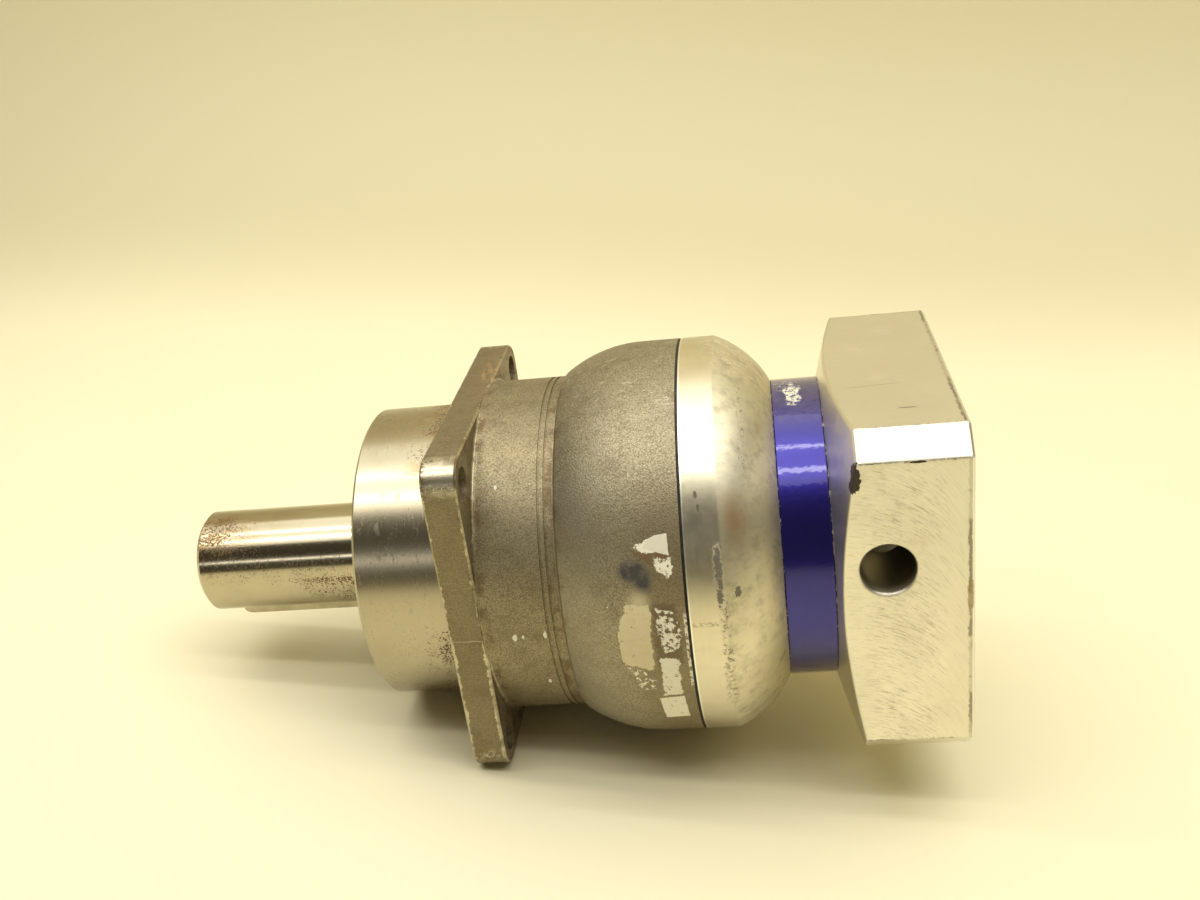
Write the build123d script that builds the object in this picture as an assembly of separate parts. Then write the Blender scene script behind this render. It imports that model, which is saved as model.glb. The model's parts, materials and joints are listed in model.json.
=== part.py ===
from build123d import *
from math import acos, atan, cos, pi, radians, sin, sqrt, tan
import os

os.makedirs("parts", exist_ok=True)

# Inline planetary reducer, in millimetres. The gearbox axis is +X, from the output shaft to the
# motor side, and +Z is up. The origin is the centre of the mounting flange's front face.

# ---- driving dimensions ----
SHAFT_R = 16.0
SHAFT_TIP_X = -88.5
SHAFT_SHOULDER_X = -30.0
KEY_LENGTH = 50.0
KEY_WIDTH = 10.0
KEY_HEIGHT = 8.0
KEYWAY_DEPTH = 5.0
KEY_END_MARGIN = 4.0
KEY_TURN = 188.0  # degrees about +X from straight up

PILOT_R = 45.0
PILOT_X = -27.0
FLANGE_SIDE = 101.0
FLANGE_THICKNESS = 10.0
FLANGE_HOLE_R = 4.5
FLANGE_PCD = 120.0
CYLINDER_R = 51.1
HOUSING_END_X = 33.0
BULGE_R = 59.9
BULGE_ARC_R = 40.0
BULGE_CREST_X = 57.0
BULGE_STEP_R = 52.6
BULGE_STEP_X = 34.0
GASKET_X = 68.4
BELL_X = 69.2
BELL_RIDGE_X = 78.75
BELL_END_X = 94.8
COLLAR_END_X = 108.8
COLLAR_R = 45.0
PLATE_END_X = 144.7
PLATE_CONE_SLOPE = 0.28
PLATE_CORNER_CHAMFER = 6.8
CAVITY_R = 28.5
MOTOR_PILOT_R = 40.0
MOTOR_PILOT_DEPTH = 5.0
MOTOR_HOLE_PCD = 100.0
MOTOR_HOLE_R = 2.5
MOTOR_BORE_R = 7.0
ACCESS_X = 122.3
ACCESS_Z = 12.1
ACCESS_R = 7.5

# output bearings: two 45 x 75 x 20 taper roller bearings, back to back
BEARING_BORE_R = 22.5
BEARING_OUTER_R = 37.5
BEARING_WIDTH = 20.0
CUP_WIDTH = 15.5
FRONT_CUP_BACK_X = 8.5
REAR_CUP_BACK_X = 16.5
ROLLER_COUNT = 22
ROLLER_R = 3.2
ROLLER_LENGTH = 13.0
ROLLER_TILT = radians(13)
ROLLER_PITCH_R = 30.0
ROLLER_MID = 8.8
ROLLING_GAP = 0.03

# gear set: sun, three planets and internal ring
MODULE = 1.25
PRESSURE_ANGLE = radians(20)
SUN_TEETH = 18
PLANET_TEETH = 27
RING_TEETH = 72
PLANET_COUNT = 3
FLANK_GAP = 0.1
FIRST_PLANET = 90.0  # degrees about +X from +Y
PLANET_CENTRE_R = MODULE * (SUN_TEETH + PLANET_TEETH) / 2
CARRIER_R = 37.5
GEAR_X = (46.6, 67.9)
WINDOW_X = (45.5, 69.0)
CARRIER_END_X = 75.0
PIN_R = 6.0
PIN_X = (39.5, 75.0)
NEEDLE_R = 1.5
NEEDLE_COUNT = 14
PLANET_BORE_R = PIN_R + 2 * NEEDLE_R

# input bearing: 20 x 42 x 12 deep groove ball bearing
INPUT_BEARING_X = (79.0, 91.0)
INPUT_BORE_R = 10.0
INPUT_OUTER_R = 21.0
BALL_R = 3.175
BALL_PITCH_R = 15.5
BALL_COUNT = 9
BALL_X = sum(INPUT_BEARING_X) / 2
RACE_GROOVE_R = BALL_R + 0.05
RACE_HALF_GAP = 2.3
CIRCLIP_WIDTH = 1.5

# walls, seals and nut inside the housing
WEB_X = 38.0
SPIGOT_X = 74.2
SPIGOT_R = (49.0, 55.5)
RING_TIP_R = 43.9
SEAL_SEAT_R = 20.0
SEAL_SEAT_END_X = 102.2
SEAL_JOURNAL_R = 20.0
INPUT_SEAL_JOURNAL_R = 13.0
LIP_GAP = 0.05
NUT_X = -18.3
THREAD_R = 22.4

# fasteners
BODY_SCREW_COUNT = 8
BODY_SCREW_R = 43.0
PLATE_SCREW_COUNT = 6
PLATE_SCREW_R = 34.5
PLATE_SCREW_START = 10.0  # degrees about +X from +Y, clear of the access hole
PLATE_SCREW_SEAT_X = 121.0

# input clamp
SLEEVE_R = 9.0
SLEEVE_X = (105.0, 137.0)
CLAMP_R = 20.5
CLAMP_WIDTH = 16.0
CLAMP_SCREW_R = 3.0
CLAMP_HEAD_SEAT_Y = -8.0


# ---- helpers ----
def turned(*outline):
    """A solid turned about the gearbox axis from its (x, radius) corners."""
    return revolve(make_face(Polyline(*outline, close=True)), Axis.X)


def turned_curve(*edges):
    """A solid turned about the gearbox axis from joined edges in (x, radius)."""
    return revolve(make_face(edges), Axis.X)


def tube(x0, x1, inner_r, outer_r):
    return turned((x0, inner_r), (x1, inner_r), (x1, outer_r), (x0, outer_r))


def rod(x0, x1, radius, y=0.0, z=0.0):
    """A cylinder parallel to the gearbox axis."""
    return Pos((x0 + x1) / 2, y, z) * Rot(0, 90, 0) * Cylinder(radius, x1 - x0)


def around(shape, count, start=0.0):
    """Copies of a shape spaced evenly about the gearbox axis."""
    return [Rot(start + i * 360 / count, 0, 0) * shape for i in range(count)]


def separate(shapes):
    """One node made of solids that stay apart."""
    return Compound([solid for shape in shapes for solid in shape.solids()])


def socket_screw(thread_r, length, head_r, head_length):
    """A socket head screw along X, with its head on the +X side of the origin."""
    socket_r = thread_r * 0.95
    shank = rod(-length, 0, thread_r)
    head = rod(0, head_length, head_r)
    head = chamfer(head.edges().filter_by(GeomType.CIRCLE).sort_by(Axis.X)[-1], head_r * 0.08)
    socket = Plane.YZ.offset(head_length * 0.4) * RegularPolygon(socket_r, 6)
    return shank + head - extrude(socket, head_length)


# ---- gear teeth ----
def involute(angle):
    return tan(angle) - angle


def tooth_outline(teeth, tip_r, root_r, thinner):
    """A spur gear's outline in the YZ plane, with a tooth centred on +Y and thinner flanks."""
    pitch_r = MODULE * teeth / 2
    base_r = pitch_r * cos(PRESSURE_ANGLE)
    flank_start_r = max(base_r, root_r)
    flank_mid_r = (flank_start_r + tip_r) / 2

    def half_angle(radius):
        at_pitch = pi / (2 * teeth) - thinner / pitch_r
        return at_pitch + involute(PRESSURE_ANGLE) - involute(acos(min(1.0, base_r / radius)))

    def point(radius, angle):
        return (radius * cos(angle), radius * sin(angle))

    start, mid, tip = (half_angle(r) for r in (flank_start_r, flank_mid_r, tip_r))
    pitch_angle = 2 * pi / teeth
    edges = []
    for i in range(teeth):
        centre = i * pitch_angle
        rising = [(flank_start_r, -start), (flank_mid_r, -mid), (tip_r, -tip)]
        falling = [(tip_r, tip), (flank_mid_r, mid), (flank_start_r, start)]
        if root_r < flank_start_r:
            edges.append(Line(point(root_r, centre - start), point(flank_start_r, centre - start)))
        edges.append(ThreePointArc(*(point(r, centre + a) for r, a in rising)))
        edges.append(ThreePointArc(*(point(tip_r, centre + a) for a in (-tip, 0, tip))))
        edges.append(ThreePointArc(*(point(r, centre + a) for r, a in falling)))
        if root_r < flank_start_r:
            edges.append(Line(point(flank_start_r, centre + start), point(root_r, centre + start)))
        gap = (start, pitch_angle / 2, pitch_angle - start)
        edges.append(ThreePointArc(*(point(root_r, centre + a) for a in gap)))
    return Plane.YZ * make_face(edges)


def spur_gear(teeth, x0, x1):
    pitch_r = MODULE * teeth / 2
    outline = tooth_outline(teeth, pitch_r + MODULE, pitch_r - 1.25 * MODULE, FLANK_GAP / 2)
    return Pos(x0, 0, 0) * extrude(outline, x1 - x0)


# ---- taper roller bearings ----
# A bearing is drawn with its cup's back face at x = 0 and its cone's back face at
# x = BEARING_WIDTH. The cup raceway, the roller axes and the cone raceway all meet at one apex
# on the gearbox axis.
ROLLER_DISTANCE = ROLLER_PITCH_R / sin(ROLLER_TILT)
APEX_X = ROLLER_MID - ROLLER_DISTANCE * cos(ROLLER_TILT)
ROLLER_TAPER = atan(ROLLER_R / ROLLER_DISTANCE)
SMALL_END = ROLLER_DISTANCE - ROLLER_LENGTH / 2
LARGE_END = ROLLER_DISTANCE + ROLLER_LENGTH / 2


def roller_point(along, off):
    """(x, radius) of a point so far along a roller's axis from the apex, and so far off that axis."""
    x = APEX_X + along * cos(ROLLER_TILT) - off * sin(ROLLER_TILT)
    return (x, along * sin(ROLLER_TILT) + off * cos(ROLLER_TILT))


def placed_bearing(shape, cup_back_x, large_end):
    """Moves a bearing piece to its seat. large_end is the sign of X that its large ends face."""
    turn = Rot(0, 0, 0) if large_end > 0 else Rot(0, 180, 0)
    return Pos(cup_back_x, 0, 0) * turn * shape


def cup():
    slope = tan(ROLLER_TILT + ROLLER_TAPER)
    small_r = -APEX_X * slope
    large_r = (CUP_WIDTH - APEX_X) * slope
    return turned((0, small_r), (CUP_WIDTH, large_r), (CUP_WIDTH, BEARING_OUTER_R), (0, BEARING_OUTER_R))


def cone():
    end_gap = 0.1
    rib_drop = 1.2
    small_rib_drop = 2.0
    large = LARGE_END + end_gap
    small = SMALL_END - end_gap
    rib_top = roller_point(large, -rib_drop)
    small_rib_top = roller_point(small, -small_rib_drop)
    return turned(
        (0, BEARING_BORE_R),
        (BEARING_WIDTH, BEARING_BORE_R),
        (BEARING_WIDTH, rib_top[1]),
        rib_top,
        roller_point(large, -large * tan(ROLLER_TAPER)),
        roller_point(small, -small * tan(ROLLER_TAPER)),
        small_rib_top,
        (0, small_rib_top[1]),
    )


def roller(extra_r, extra_length):
    """One taper roller, larger than its raceway by extra_r and longer by extra_length at each end."""
    small = SMALL_END - extra_length
    large = LARGE_END + extra_length
    x, r = roller_point(small, 0)
    axis = Plane(origin=(x, r, 0), z_dir=(cos(ROLLER_TILT), sin(ROLLER_TILT), 0))
    small_r = small * tan(ROLLER_TAPER) + extra_r
    large_r = large * tan(ROLLER_TAPER) + extra_r
    return Solid.make_cone(small_r, large_r, large - small, axis)


def rollers():
    return separate(around(roller(-ROLLING_GAP, 0), ROLLER_COUNT))


def roller_cage():
    pocket_gap = 0.2
    ring_gap = 0.5
    ring_width = 1.2
    inner = 0.8
    outer = 1.9
    lip = -0.4
    small = SMALL_END - ring_gap
    large = LARGE_END + ring_gap
    band = turned(
        roller_point(small - ring_width, lip),
        roller_point(small, lip),
        roller_point(small, inner),
        roller_point(large, inner),
        roller_point(large, lip),
        roller_point(large + ring_width, lip),
        roller_point(large + ring_width, outer),
        roller_point(small - ring_width, outer),
    )
    return band - around(roller(pocket_gap, pocket_gap), ROLLER_COUNT)


# ---- housing ----
def flange_plate():
    half_hole = FLANGE_PCD / 2 / sqrt(2)
    corner_r = FLANGE_SIDE / 2 - half_hole
    edge_break = 0.5
    outline = Plane.YZ * RectangleRounded(FLANGE_SIDE, FLANGE_SIDE, corner_r)
    plate = extrude(outline, FLANGE_THICKNESS)
    front, *_, rear = plate.faces().sort_by(Axis.X)
    plate = chamfer(front.edges() + rear.edges(), edge_break)
    hole = rod(-1, FLANGE_THICKNESS + 1, FLANGE_HOLE_R, half_hole, half_hole)
    return plate - around(hole, 4)


def output_housing():
    seat_r = BEARING_OUTER_R
    rib_r = 34.0
    pilot_chamfer = 0.8
    groove_depth = 0.35
    groove_width = 0.7
    groove_x = (28.6, 30.4)
    corner_fillet = 1.5
    o_ring_groove = (46.7, 49.5, 2.2)
    tapped_r = 2.0
    tapped_depth = 14.0
    body = turned(
        (PILOT_X, seat_r),
        (PILOT_X, PILOT_R - pilot_chamfer),
        (PILOT_X + pilot_chamfer, PILOT_R),
        (FLANGE_THICKNESS - 1, PILOT_R),
        (FLANGE_THICKNESS - 1, PILOT_R + 2),
        (FLANGE_THICKNESS, CYLINDER_R),
        (HOUSING_END_X, CYLINDER_R),
        (HOUSING_END_X, seat_r),
    )
    root = FLANGE_THICKNESS + corner_fillet
    fillet_ring = turned_curve(
        Line((FLANGE_THICKNESS, CYLINDER_R - 1), (FLANGE_THICKNESS, CYLINDER_R + corner_fillet)),
        RadiusArc((FLANGE_THICKNESS, CYLINDER_R + corner_fillet), (root, CYLINDER_R), -corner_fillet),
        Line((root, CYLINDER_R), (root, CYLINDER_R - 1)),
        Line((root, CYLINDER_R - 1), (FLANGE_THICKNESS, CYLINDER_R - 1)),
    )
    fillet_ring &= Pos(FLANGE_THICKNESS, 0, 0) * Box(2 * root, FLANGE_SIDE - 1, FLANGE_SIDE - 1)
    body = body + flange_plate() + fillet_ring
    body -= rod(PILOT_X - 1, FRONT_CUP_BACK_X, seat_r)
    body -= rod(FRONT_CUP_BACK_X, REAR_CUP_BACK_X, rib_r)
    body -= rod(REAR_CUP_BACK_X, HOUSING_END_X + 1, seat_r)
    for x in groove_x:
        body -= tube(x, x + groove_width, CYLINDER_R - groove_depth, CYLINDER_R + 1)
    inner_r, outer_r, depth = o_ring_groove
    body -= tube(HOUSING_END_X - depth, HOUSING_END_X + 1, inner_r, outer_r)
    tapped = rod(HOUSING_END_X - tapped_depth, HOUSING_END_X + 1, tapped_r, BODY_SCREW_R)
    return body - around(tapped, BODY_SCREW_COUNT)


def housing_o_ring():
    section_r = 1.1
    centre_r = 48.1
    return Pos(HOUSING_END_X - section_r, 0, 0) * Rot(0, 90, 0) * Torus(centre_r, section_r)


def ring_gear_housing():
    web_r = 38.0
    relief_r = 47.2
    step_bottom_x = 33.2
    clearance_r = 2.25
    arc_centre_r = BULGE_R - BULGE_ARC_R
    mid_x = (BULGE_STEP_X + BULGE_CREST_X) / 2
    mid_r = arc_centre_r + sqrt(BULGE_ARC_R**2 - (BULGE_CREST_X - mid_x) ** 2)
    outer = [
        (HOUSING_END_X, web_r),
        (HOUSING_END_X, CYLINDER_R),
        (step_bottom_x, CYLINDER_R),
        (BULGE_STEP_X, BULGE_STEP_R),
    ]
    inner = [
        (BULGE_CREST_X, BULGE_R),
        (GASKET_X, BULGE_R),
        (GASKET_X, SPIGOT_R[1]),
        (SPIGOT_X, SPIGOT_R[1]),
        (SPIGOT_X, SPIGOT_R[0]),
        (GASKET_X, SPIGOT_R[0]),
        (GASKET_X, RING_TIP_R),
        (WINDOW_X[0], RING_TIP_R),
        (WINDOW_X[0], relief_r),
        (WEB_X, relief_r),
        (WEB_X, web_r),
        (HOUSING_END_X, web_r),
    ]
    arc = ThreePointArc(outer[-1], (mid_x, mid_r), inner[0])
    body = turned_curve(Polyline(*outer), arc, Polyline(*inner))
    pitch_r = MODULE * RING_TEETH / 2
    spaces = tooth_outline(RING_TEETH, pitch_r + 1.25 * MODULE, RING_TIP_R - 1, -FLANK_GAP / 2)
    cutter = Pos(WINDOW_X[0], 0, 0) * extrude(spaces, GASKET_X - WINDOW_X[0])
    body -= cutter
    hole = rod(HOUSING_END_X - 1, WEB_X + 1, clearance_r, BODY_SCREW_R)
    return body - around(hole, BODY_SCREW_COUNT)


def ring_housing_screws():
    length = 14.0
    screw = Pos(WEB_X, BODY_SCREW_R, 0) * socket_screw(2.0, length, 3.5, 4.0)
    return separate(around(screw, BODY_SCREW_COUNT))


def bell_gasket():
    recess = 0.7
    return tube(GASKET_X, BELL_X, SPIGOT_R[1], BULGE_R - recess)


def input_bell():
    cavity_x = 77.5
    shoulder_r = 18.0
    shoulder_mid = (88.2, 53.8)
    tapped_r = 2.5
    tapped_x = 81.0
    bearing_x, bearing_end_x = INPUT_BEARING_X
    ridge = (BELL_RIDGE_X, BULGE_R)
    end = (BELL_END_X, COLLAR_R)
    inner = [
        end,
        (BELL_END_X, INPUT_OUTER_R),
        (bearing_x, INPUT_OUTER_R),
        (bearing_x, shoulder_r),
        (cavity_x, shoulder_r),
        (cavity_x, SPIGOT_R[0]),
        (SPIGOT_X, SPIGOT_R[0]),
        (SPIGOT_X, SPIGOT_R[1]),
        (BELL_X, SPIGOT_R[1]),
        (BELL_X, BULGE_R),
        ridge,
    ]
    body = turned_curve(Polyline(*inner), ThreePointArc(ridge, shoulder_mid, end))
    groove_r = INPUT_OUTER_R + 1.2
    body -= tube(bearing_end_x, bearing_end_x + CIRCLIP_WIDTH, INPUT_OUTER_R - 1, groove_r)
    tapped = rod(tapped_x, BELL_END_X + 1, tapped_r, PLATE_SCREW_R)
    return body - around(tapped, PLATE_SCREW_COUNT, PLATE_SCREW_START)


def adapter_ring():
    edge = 0.4
    clearance_r = 2.75
    body = turned(
        (BELL_END_X, SEAL_SEAT_R),
        (SEAL_SEAT_END_X, SEAL_SEAT_R),
        (SEAL_SEAT_END_X, CAVITY_R),
        (COLLAR_END_X, CAVITY_R),
        (COLLAR_END_X, COLLAR_R - edge),
        (COLLAR_END_X - edge, COLLAR_R),
        (BELL_END_X + edge, COLLAR_R),
        (BELL_END_X, COLLAR_R - edge),
    )
    hole = rod(BELL_END_X - 1, COLLAR_END_X + 1, clearance_r, PLATE_SCREW_R)
    return body - around(hole, PLATE_SCREW_COUNT, PLATE_SCREW_START)


def motor_adapter_plate():
    clearance_r = 2.75
    head_hole_r = 4.6
    rear_edge = 0.8
    cone_edge = 0.4
    motor_hole_depth = 15.0
    access_edge = 0.5
    rim_r = FLANGE_SIDE
    recess_x = PLATE_END_X - MOTOR_PILOT_DEPTH
    outline = Plane.YZ.offset(COLLAR_END_X) * Rectangle(FLANGE_SIDE, FLANGE_SIDE)
    outline = chamfer(outline.vertices(), PLATE_CORNER_CHAMFER)
    body = extrude(outline, PLATE_END_X - COLLAR_END_X)
    body = chamfer(body.faces().sort_by(Axis.X)[-1].edges(), rear_edge)
    cone_rise = (rim_r - COLLAR_R) * PLATE_CONE_SLOPE
    body &= turned(
        (COLLAR_END_X, 0),
        (COLLAR_END_X, COLLAR_R),
        (COLLAR_END_X + cone_rise, rim_r),
        (PLATE_END_X, rim_r),
        (PLATE_END_X, 0),
    )
    cone_face = body.faces().filter_by(GeomType.CONE)[0]
    rim = [edge for edge in cone_face.edges() if edge.geom_type != GeomType.CIRCLE]
    body = chamfer(rim, cone_edge)
    body -= rod(COLLAR_END_X - 1, PLATE_END_X, CAVITY_R)
    body -= rod(recess_x, PLATE_END_X + 1, MOTOR_PILOT_R)
    screw_hole = rod(COLLAR_END_X - 1, recess_x, clearance_r, PLATE_SCREW_R)
    screw_hole += rod(PLATE_SCREW_SEAT_X, recess_x + 1, head_hole_r, PLATE_SCREW_R)
    body -= around(screw_hole, PLATE_SCREW_COUNT, PLATE_SCREW_START)
    motor_hole = rod(PLATE_END_X - motor_hole_depth, PLATE_END_X + 1, MOTOR_HOLE_R, MOTOR_HOLE_PCD / 2)
    body -= around(motor_hole, 4, 45)
    side = FLANGE_SIDE / 2
    access = Pos(ACCESS_X, -side / 2 - 10, ACCESS_Z) * Rot(90, 0, 0) * Cylinder(ACCESS_R, side)
    mouth = Pos(ACCESS_X, -side + access_edge / 2, ACCESS_Z) * Rot(90, 0, 0)
    mouth *= Cone(ACCESS_R, ACCESS_R + access_edge, access_edge)
    return body - access - mouth


def adapter_screws():
    length = 38.0
    screw = Pos(PLATE_SCREW_SEAT_X, PLATE_SCREW_R, 0) * socket_screw(2.5, length, 4.25, 5.0)
    return separate(around(screw, PLATE_SCREW_COUNT, PLATE_SCREW_START))


# ---- seals ----
def lip_seal(x0, x1, outer_r, lip_r):
    """A shaft seal: a pressed outer case with a web on its -X side and a thin lip that points inwards."""
    case = 2.0
    web = 1.6
    lip = 1.4
    lip_height = 2.5
    lip_root = 0.6
    lip_x = x0 + (x1 - x0) * 0.6
    knee_r = lip_r + lip_height
    return turned(
        (x0, knee_r),
        (x0, outer_r),
        (x1, outer_r),
        (x1, outer_r - case),
        (x0 + web, outer_r - case),
        (x0 + web, knee_r + lip_root),
        (lip_x + lip, lip_r + lip),
        (lip_x, lip_r),
    )


def output_seal():
    recess = 0.5
    width = 8.0
    x0 = PILOT_X + recess
    return lip_seal(x0, x0 + width, BEARING_OUTER_R, SEAL_JOURNAL_R + LIP_GAP)


def input_seal():
    width = 7.0
    lip_r = INPUT_SEAL_JOURNAL_R + LIP_GAP
    return lip_seal(SEAL_SEAT_END_X - width, SEAL_SEAT_END_X, SEAL_SEAT_R, lip_r)


# ---- output shaft and planet carrier ----
def key_blank(height):
    """The key's outline raised from the keyway's floor, turned to the key's side of the shaft."""
    middle = SHAFT_TIP_X + KEY_END_MARGIN + KEY_LENGTH / 2
    floor = SHAFT_R - KEYWAY_DEPTH
    blank = extrude(SlotOverall(KEY_LENGTH, KEY_WIDTH), height)
    return Rot(KEY_TURN, 0, 0) * Pos(middle, 0, floor) * blank


def output_key():
    top_break = 0.3
    blank = extrude(SlotOverall(KEY_LENGTH, KEY_WIDTH), KEY_HEIGHT)
    blank = chamfer(blank.faces().sort_by(Axis.Z)[-1].edges(), top_break)
    middle = SHAFT_TIP_X + KEY_END_MARGIN + KEY_LENGTH / 2
    return Rot(KEY_TURN, 0, 0) * Pos(middle, 0, SHAFT_R - KEYWAY_DEPTH) * blank


def output_shaft():
    tip_chamfer = 1.3
    shoulder_edge = 0.6
    hub_r = 30.0
    hub_x = 38.5
    cone_back_x = REAR_CUP_BACK_X + BEARING_WIDTH
    nut_seat_x = FRONT_CUP_BACK_X - BEARING_WIDTH
    window_gap = 1.0
    nut_gap = 0.2
    sun_room_r = 13.6
    centre_hole_r = 5.1
    centre_hole_depth = 28.0
    countersink_r = 6.6
    body = turned(
        (SHAFT_TIP_X, 0),
        (SHAFT_TIP_X, SHAFT_R - tip_chamfer),
        (SHAFT_TIP_X + tip_chamfer, SHAFT_R),
        (SHAFT_SHOULDER_X, SHAFT_R),
        (SHAFT_SHOULDER_X, SEAL_JOURNAL_R - shoulder_edge),
        (SHAFT_SHOULDER_X + shoulder_edge, SEAL_JOURNAL_R),
        (NUT_X - nut_gap, SEAL_JOURNAL_R),
        (NUT_X - nut_gap, THREAD_R),
        (nut_seat_x, THREAD_R),
        (nut_seat_x, BEARING_BORE_R),
        (cone_back_x, BEARING_BORE_R),
        (cone_back_x, hub_r),
        (hub_x, hub_r),
        (hub_x, CARRIER_R),
        (CARRIER_END_X, CARRIER_R),
        (CARRIER_END_X, 0),
    )
    planet_tip_r = MODULE * (PLANET_TEETH / 2 + 1)
    window = rod(*WINDOW_X, planet_tip_r + window_gap, PLANET_CENTRE_R)
    pin_hole = rod(PIN_X[0], CARRIER_END_X + 1, PIN_R, PLANET_CENTRE_R)
    body -= around(window, PLANET_COUNT, FIRST_PLANET)
    body -= around(pin_hole, PLANET_COUNT, FIRST_PLANET)
    body -= rod(WINDOW_X[0], CARRIER_END_X + 1, sun_room_r)
    body -= key_blank(KEYWAY_DEPTH + 2)
    body -= turned(
        (SHAFT_TIP_X - 1, 0),
        (SHAFT_TIP_X - 1, countersink_r + 1),
        (SHAFT_TIP_X + countersink_r - centre_hole_r, centre_hole_r),
        (SHAFT_TIP_X + centre_hole_depth, centre_hole_r),
        (SHAFT_TIP_X + centre_hole_depth + centre_hole_r / 2, 0),
    )
    return body


def bearing_nut():
    outer_r = 31.0
    slot_width = 5.0
    slot_depth = 2.0
    x1 = FRONT_CUP_BACK_X - BEARING_WIDTH
    nut = tube(NUT_X, x1, THREAD_R, outer_r)
    slot = Pos((NUT_X + x1) / 2, outer_r, 0) * Box(x1 - NUT_X + 2, 2 * slot_depth, slot_width)
    return nut - around(slot, 4)


def bearing_spacer():
    outer_r = 26.0
    return tube(FRONT_CUP_BACK_X, REAR_CUP_BACK_X, BEARING_BORE_R, outer_r)


def planet_pins():
    pin = rod(*PIN_X, PIN_R, PLANET_CENTRE_R)
    return separate(around(pin, PLANET_COUNT, FIRST_PLANET))


def planet_thrust_washers():
    thickness = 0.9
    outer_r = 12.0
    front = rod(WINDOW_X[0], WINDOW_X[0] + thickness, outer_r, PLANET_CENTRE_R)
    rear = rod(WINDOW_X[1] - thickness, WINDOW_X[1], outer_r, PLANET_CENTRE_R)
    pin = rod(*PIN_X, PIN_R, PLANET_CENTRE_R)
    fronts = around(front - pin, PLANET_COUNT, FIRST_PLANET)
    rears = around(rear - pin, PLANET_COUNT, FIRST_PLANET)
    return separate(fronts + rears)


def planet_gear(angle):
    """A planet with a tooth pointing outwards, so that a tooth space faces the sun's tooth."""
    gear = spur_gear(PLANET_TEETH, *GEAR_X) - rod(GEAR_X[0] - 1, GEAR_X[1] + 1, PLANET_BORE_R)
    return Rot(angle, 0, 0) * Pos(0, PLANET_CENTRE_R, 0) * gear


def planet_needles(angle):
    end_gap = 0.4
    needle = rod(GEAR_X[0] + end_gap, GEAR_X[1] - end_gap, NEEDLE_R - ROLLING_GAP, PIN_R + NEEDLE_R)
    needles = separate(around(needle, NEEDLE_COUNT))
    return Rot(angle, 0, 0) * Pos(0, PLANET_CENTRE_R, 0) * needles


# ---- input shaft ----
def input_shaft():
    sun_x = (46.3, 68.2)
    neck_r = 9.0
    journal_x = 76.5
    circlip_r = 9.3
    bore_x = 104.0
    slit_x = 108.0
    slit_width = 1.6
    slit_count = 3
    bearing_x, bearing_end_x = INPUT_BEARING_X
    sleeve_x, sleeve_end_x = SLEEVE_X
    body = turned(
        (sun_x[1], 0),
        (sun_x[1], neck_r),
        (journal_x, neck_r),
        (journal_x, INPUT_BORE_R),
        (bearing_x - CIRCLIP_WIDTH, INPUT_BORE_R),
        (bearing_x - CIRCLIP_WIDTH, circlip_r),
        (bearing_x, circlip_r),
        (bearing_x, INPUT_BORE_R),
        (bearing_end_x, INPUT_BORE_R),
        (bearing_end_x, INPUT_SEAL_JOURNAL_R),
        (sleeve_x, INPUT_SEAL_JOURNAL_R),
        (sleeve_x, SLEEVE_R),
        (sleeve_end_x, SLEEVE_R),
        (sleeve_end_x, 0),
    )
    body += Rot(FIRST_PLANET, 0, 0) * spur_gear(SUN_TEETH, *sun_x)
    body -= rod(bore_x, sleeve_end_x + 1, MOTOR_BORE_R)
    slit_length = sleeve_end_x + 1 - slit_x
    slit = Pos(slit_x + slit_length / 2, 0, SLEEVE_R) * Box(slit_length, slit_width, 2 * (SLEEVE_R - 1))
    return body - around(slit, slit_count)


def clamp_ring():
    slit_width = 2.0
    slit_floor_r = 5.0
    head_room_r = 5.3
    clearance_r = 3.3
    thread_end_y = 15.0
    half = CLAMP_WIDTH / 2
    slit_height = 2 * (CLAMP_R - slit_floor_r)
    body = tube(ACCESS_X - half, ACCESS_X + half, SLEEVE_R, CLAMP_R)
    body -= Pos(ACCESS_X, 0, CLAMP_R) * Box(CLAMP_WIDTH + 2, slit_width, slit_height)
    screw_axis = Pos(ACCESS_X, 0, ACCESS_Z) * Rot(0, 0, -90)
    body -= screw_axis * rod(-CLAMP_HEAD_SEAT_Y, CLAMP_R, head_room_r)
    body -= screw_axis * rod(0, CLAMP_R, clearance_r)
    return body - screw_axis * rod(-thread_end_y, 0, CLAMP_SCREW_R)


def clamp_screw():
    length = 22.0
    screw = socket_screw(CLAMP_SCREW_R, length, 5.0, 6.0)
    return Pos(ACCESS_X, CLAMP_HEAD_SEAT_Y, ACCESS_Z) * Rot(0, 0, -90) * screw


# ---- input ball bearing ----
def ball_track():
    return Pos(BALL_X, 0, 0) * Rot(0, 90, 0) * Torus(BALL_PITCH_R, RACE_GROOVE_R)


def input_bearing_outer_race():
    return tube(*INPUT_BEARING_X, BALL_PITCH_R + RACE_HALF_GAP, INPUT_OUTER_R) - ball_track()


def input_bearing_inner_race():
    return tube(*INPUT_BEARING_X, INPUT_BORE_R, BALL_PITCH_R - RACE_HALF_GAP) - ball_track()


def input_bearing_balls():
    ball = Pos(BALL_X, BALL_PITCH_R, 0) * Sphere(BALL_R)
    return separate(around(ball, BALL_COUNT))


def input_bearing_cage():
    half_width = 4.0
    half_thickness = 0.9
    pocket_r = BALL_R + 0.15
    inner_r = BALL_PITCH_R - half_thickness
    outer_r = BALL_PITCH_R + half_thickness
    band = tube(BALL_X - half_width, BALL_X + half_width, inner_r, outer_r)
    pocket = Pos(BALL_X, BALL_PITCH_R, 0) * Sphere(pocket_r)
    return band - around(pocket, BALL_COUNT)


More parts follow.
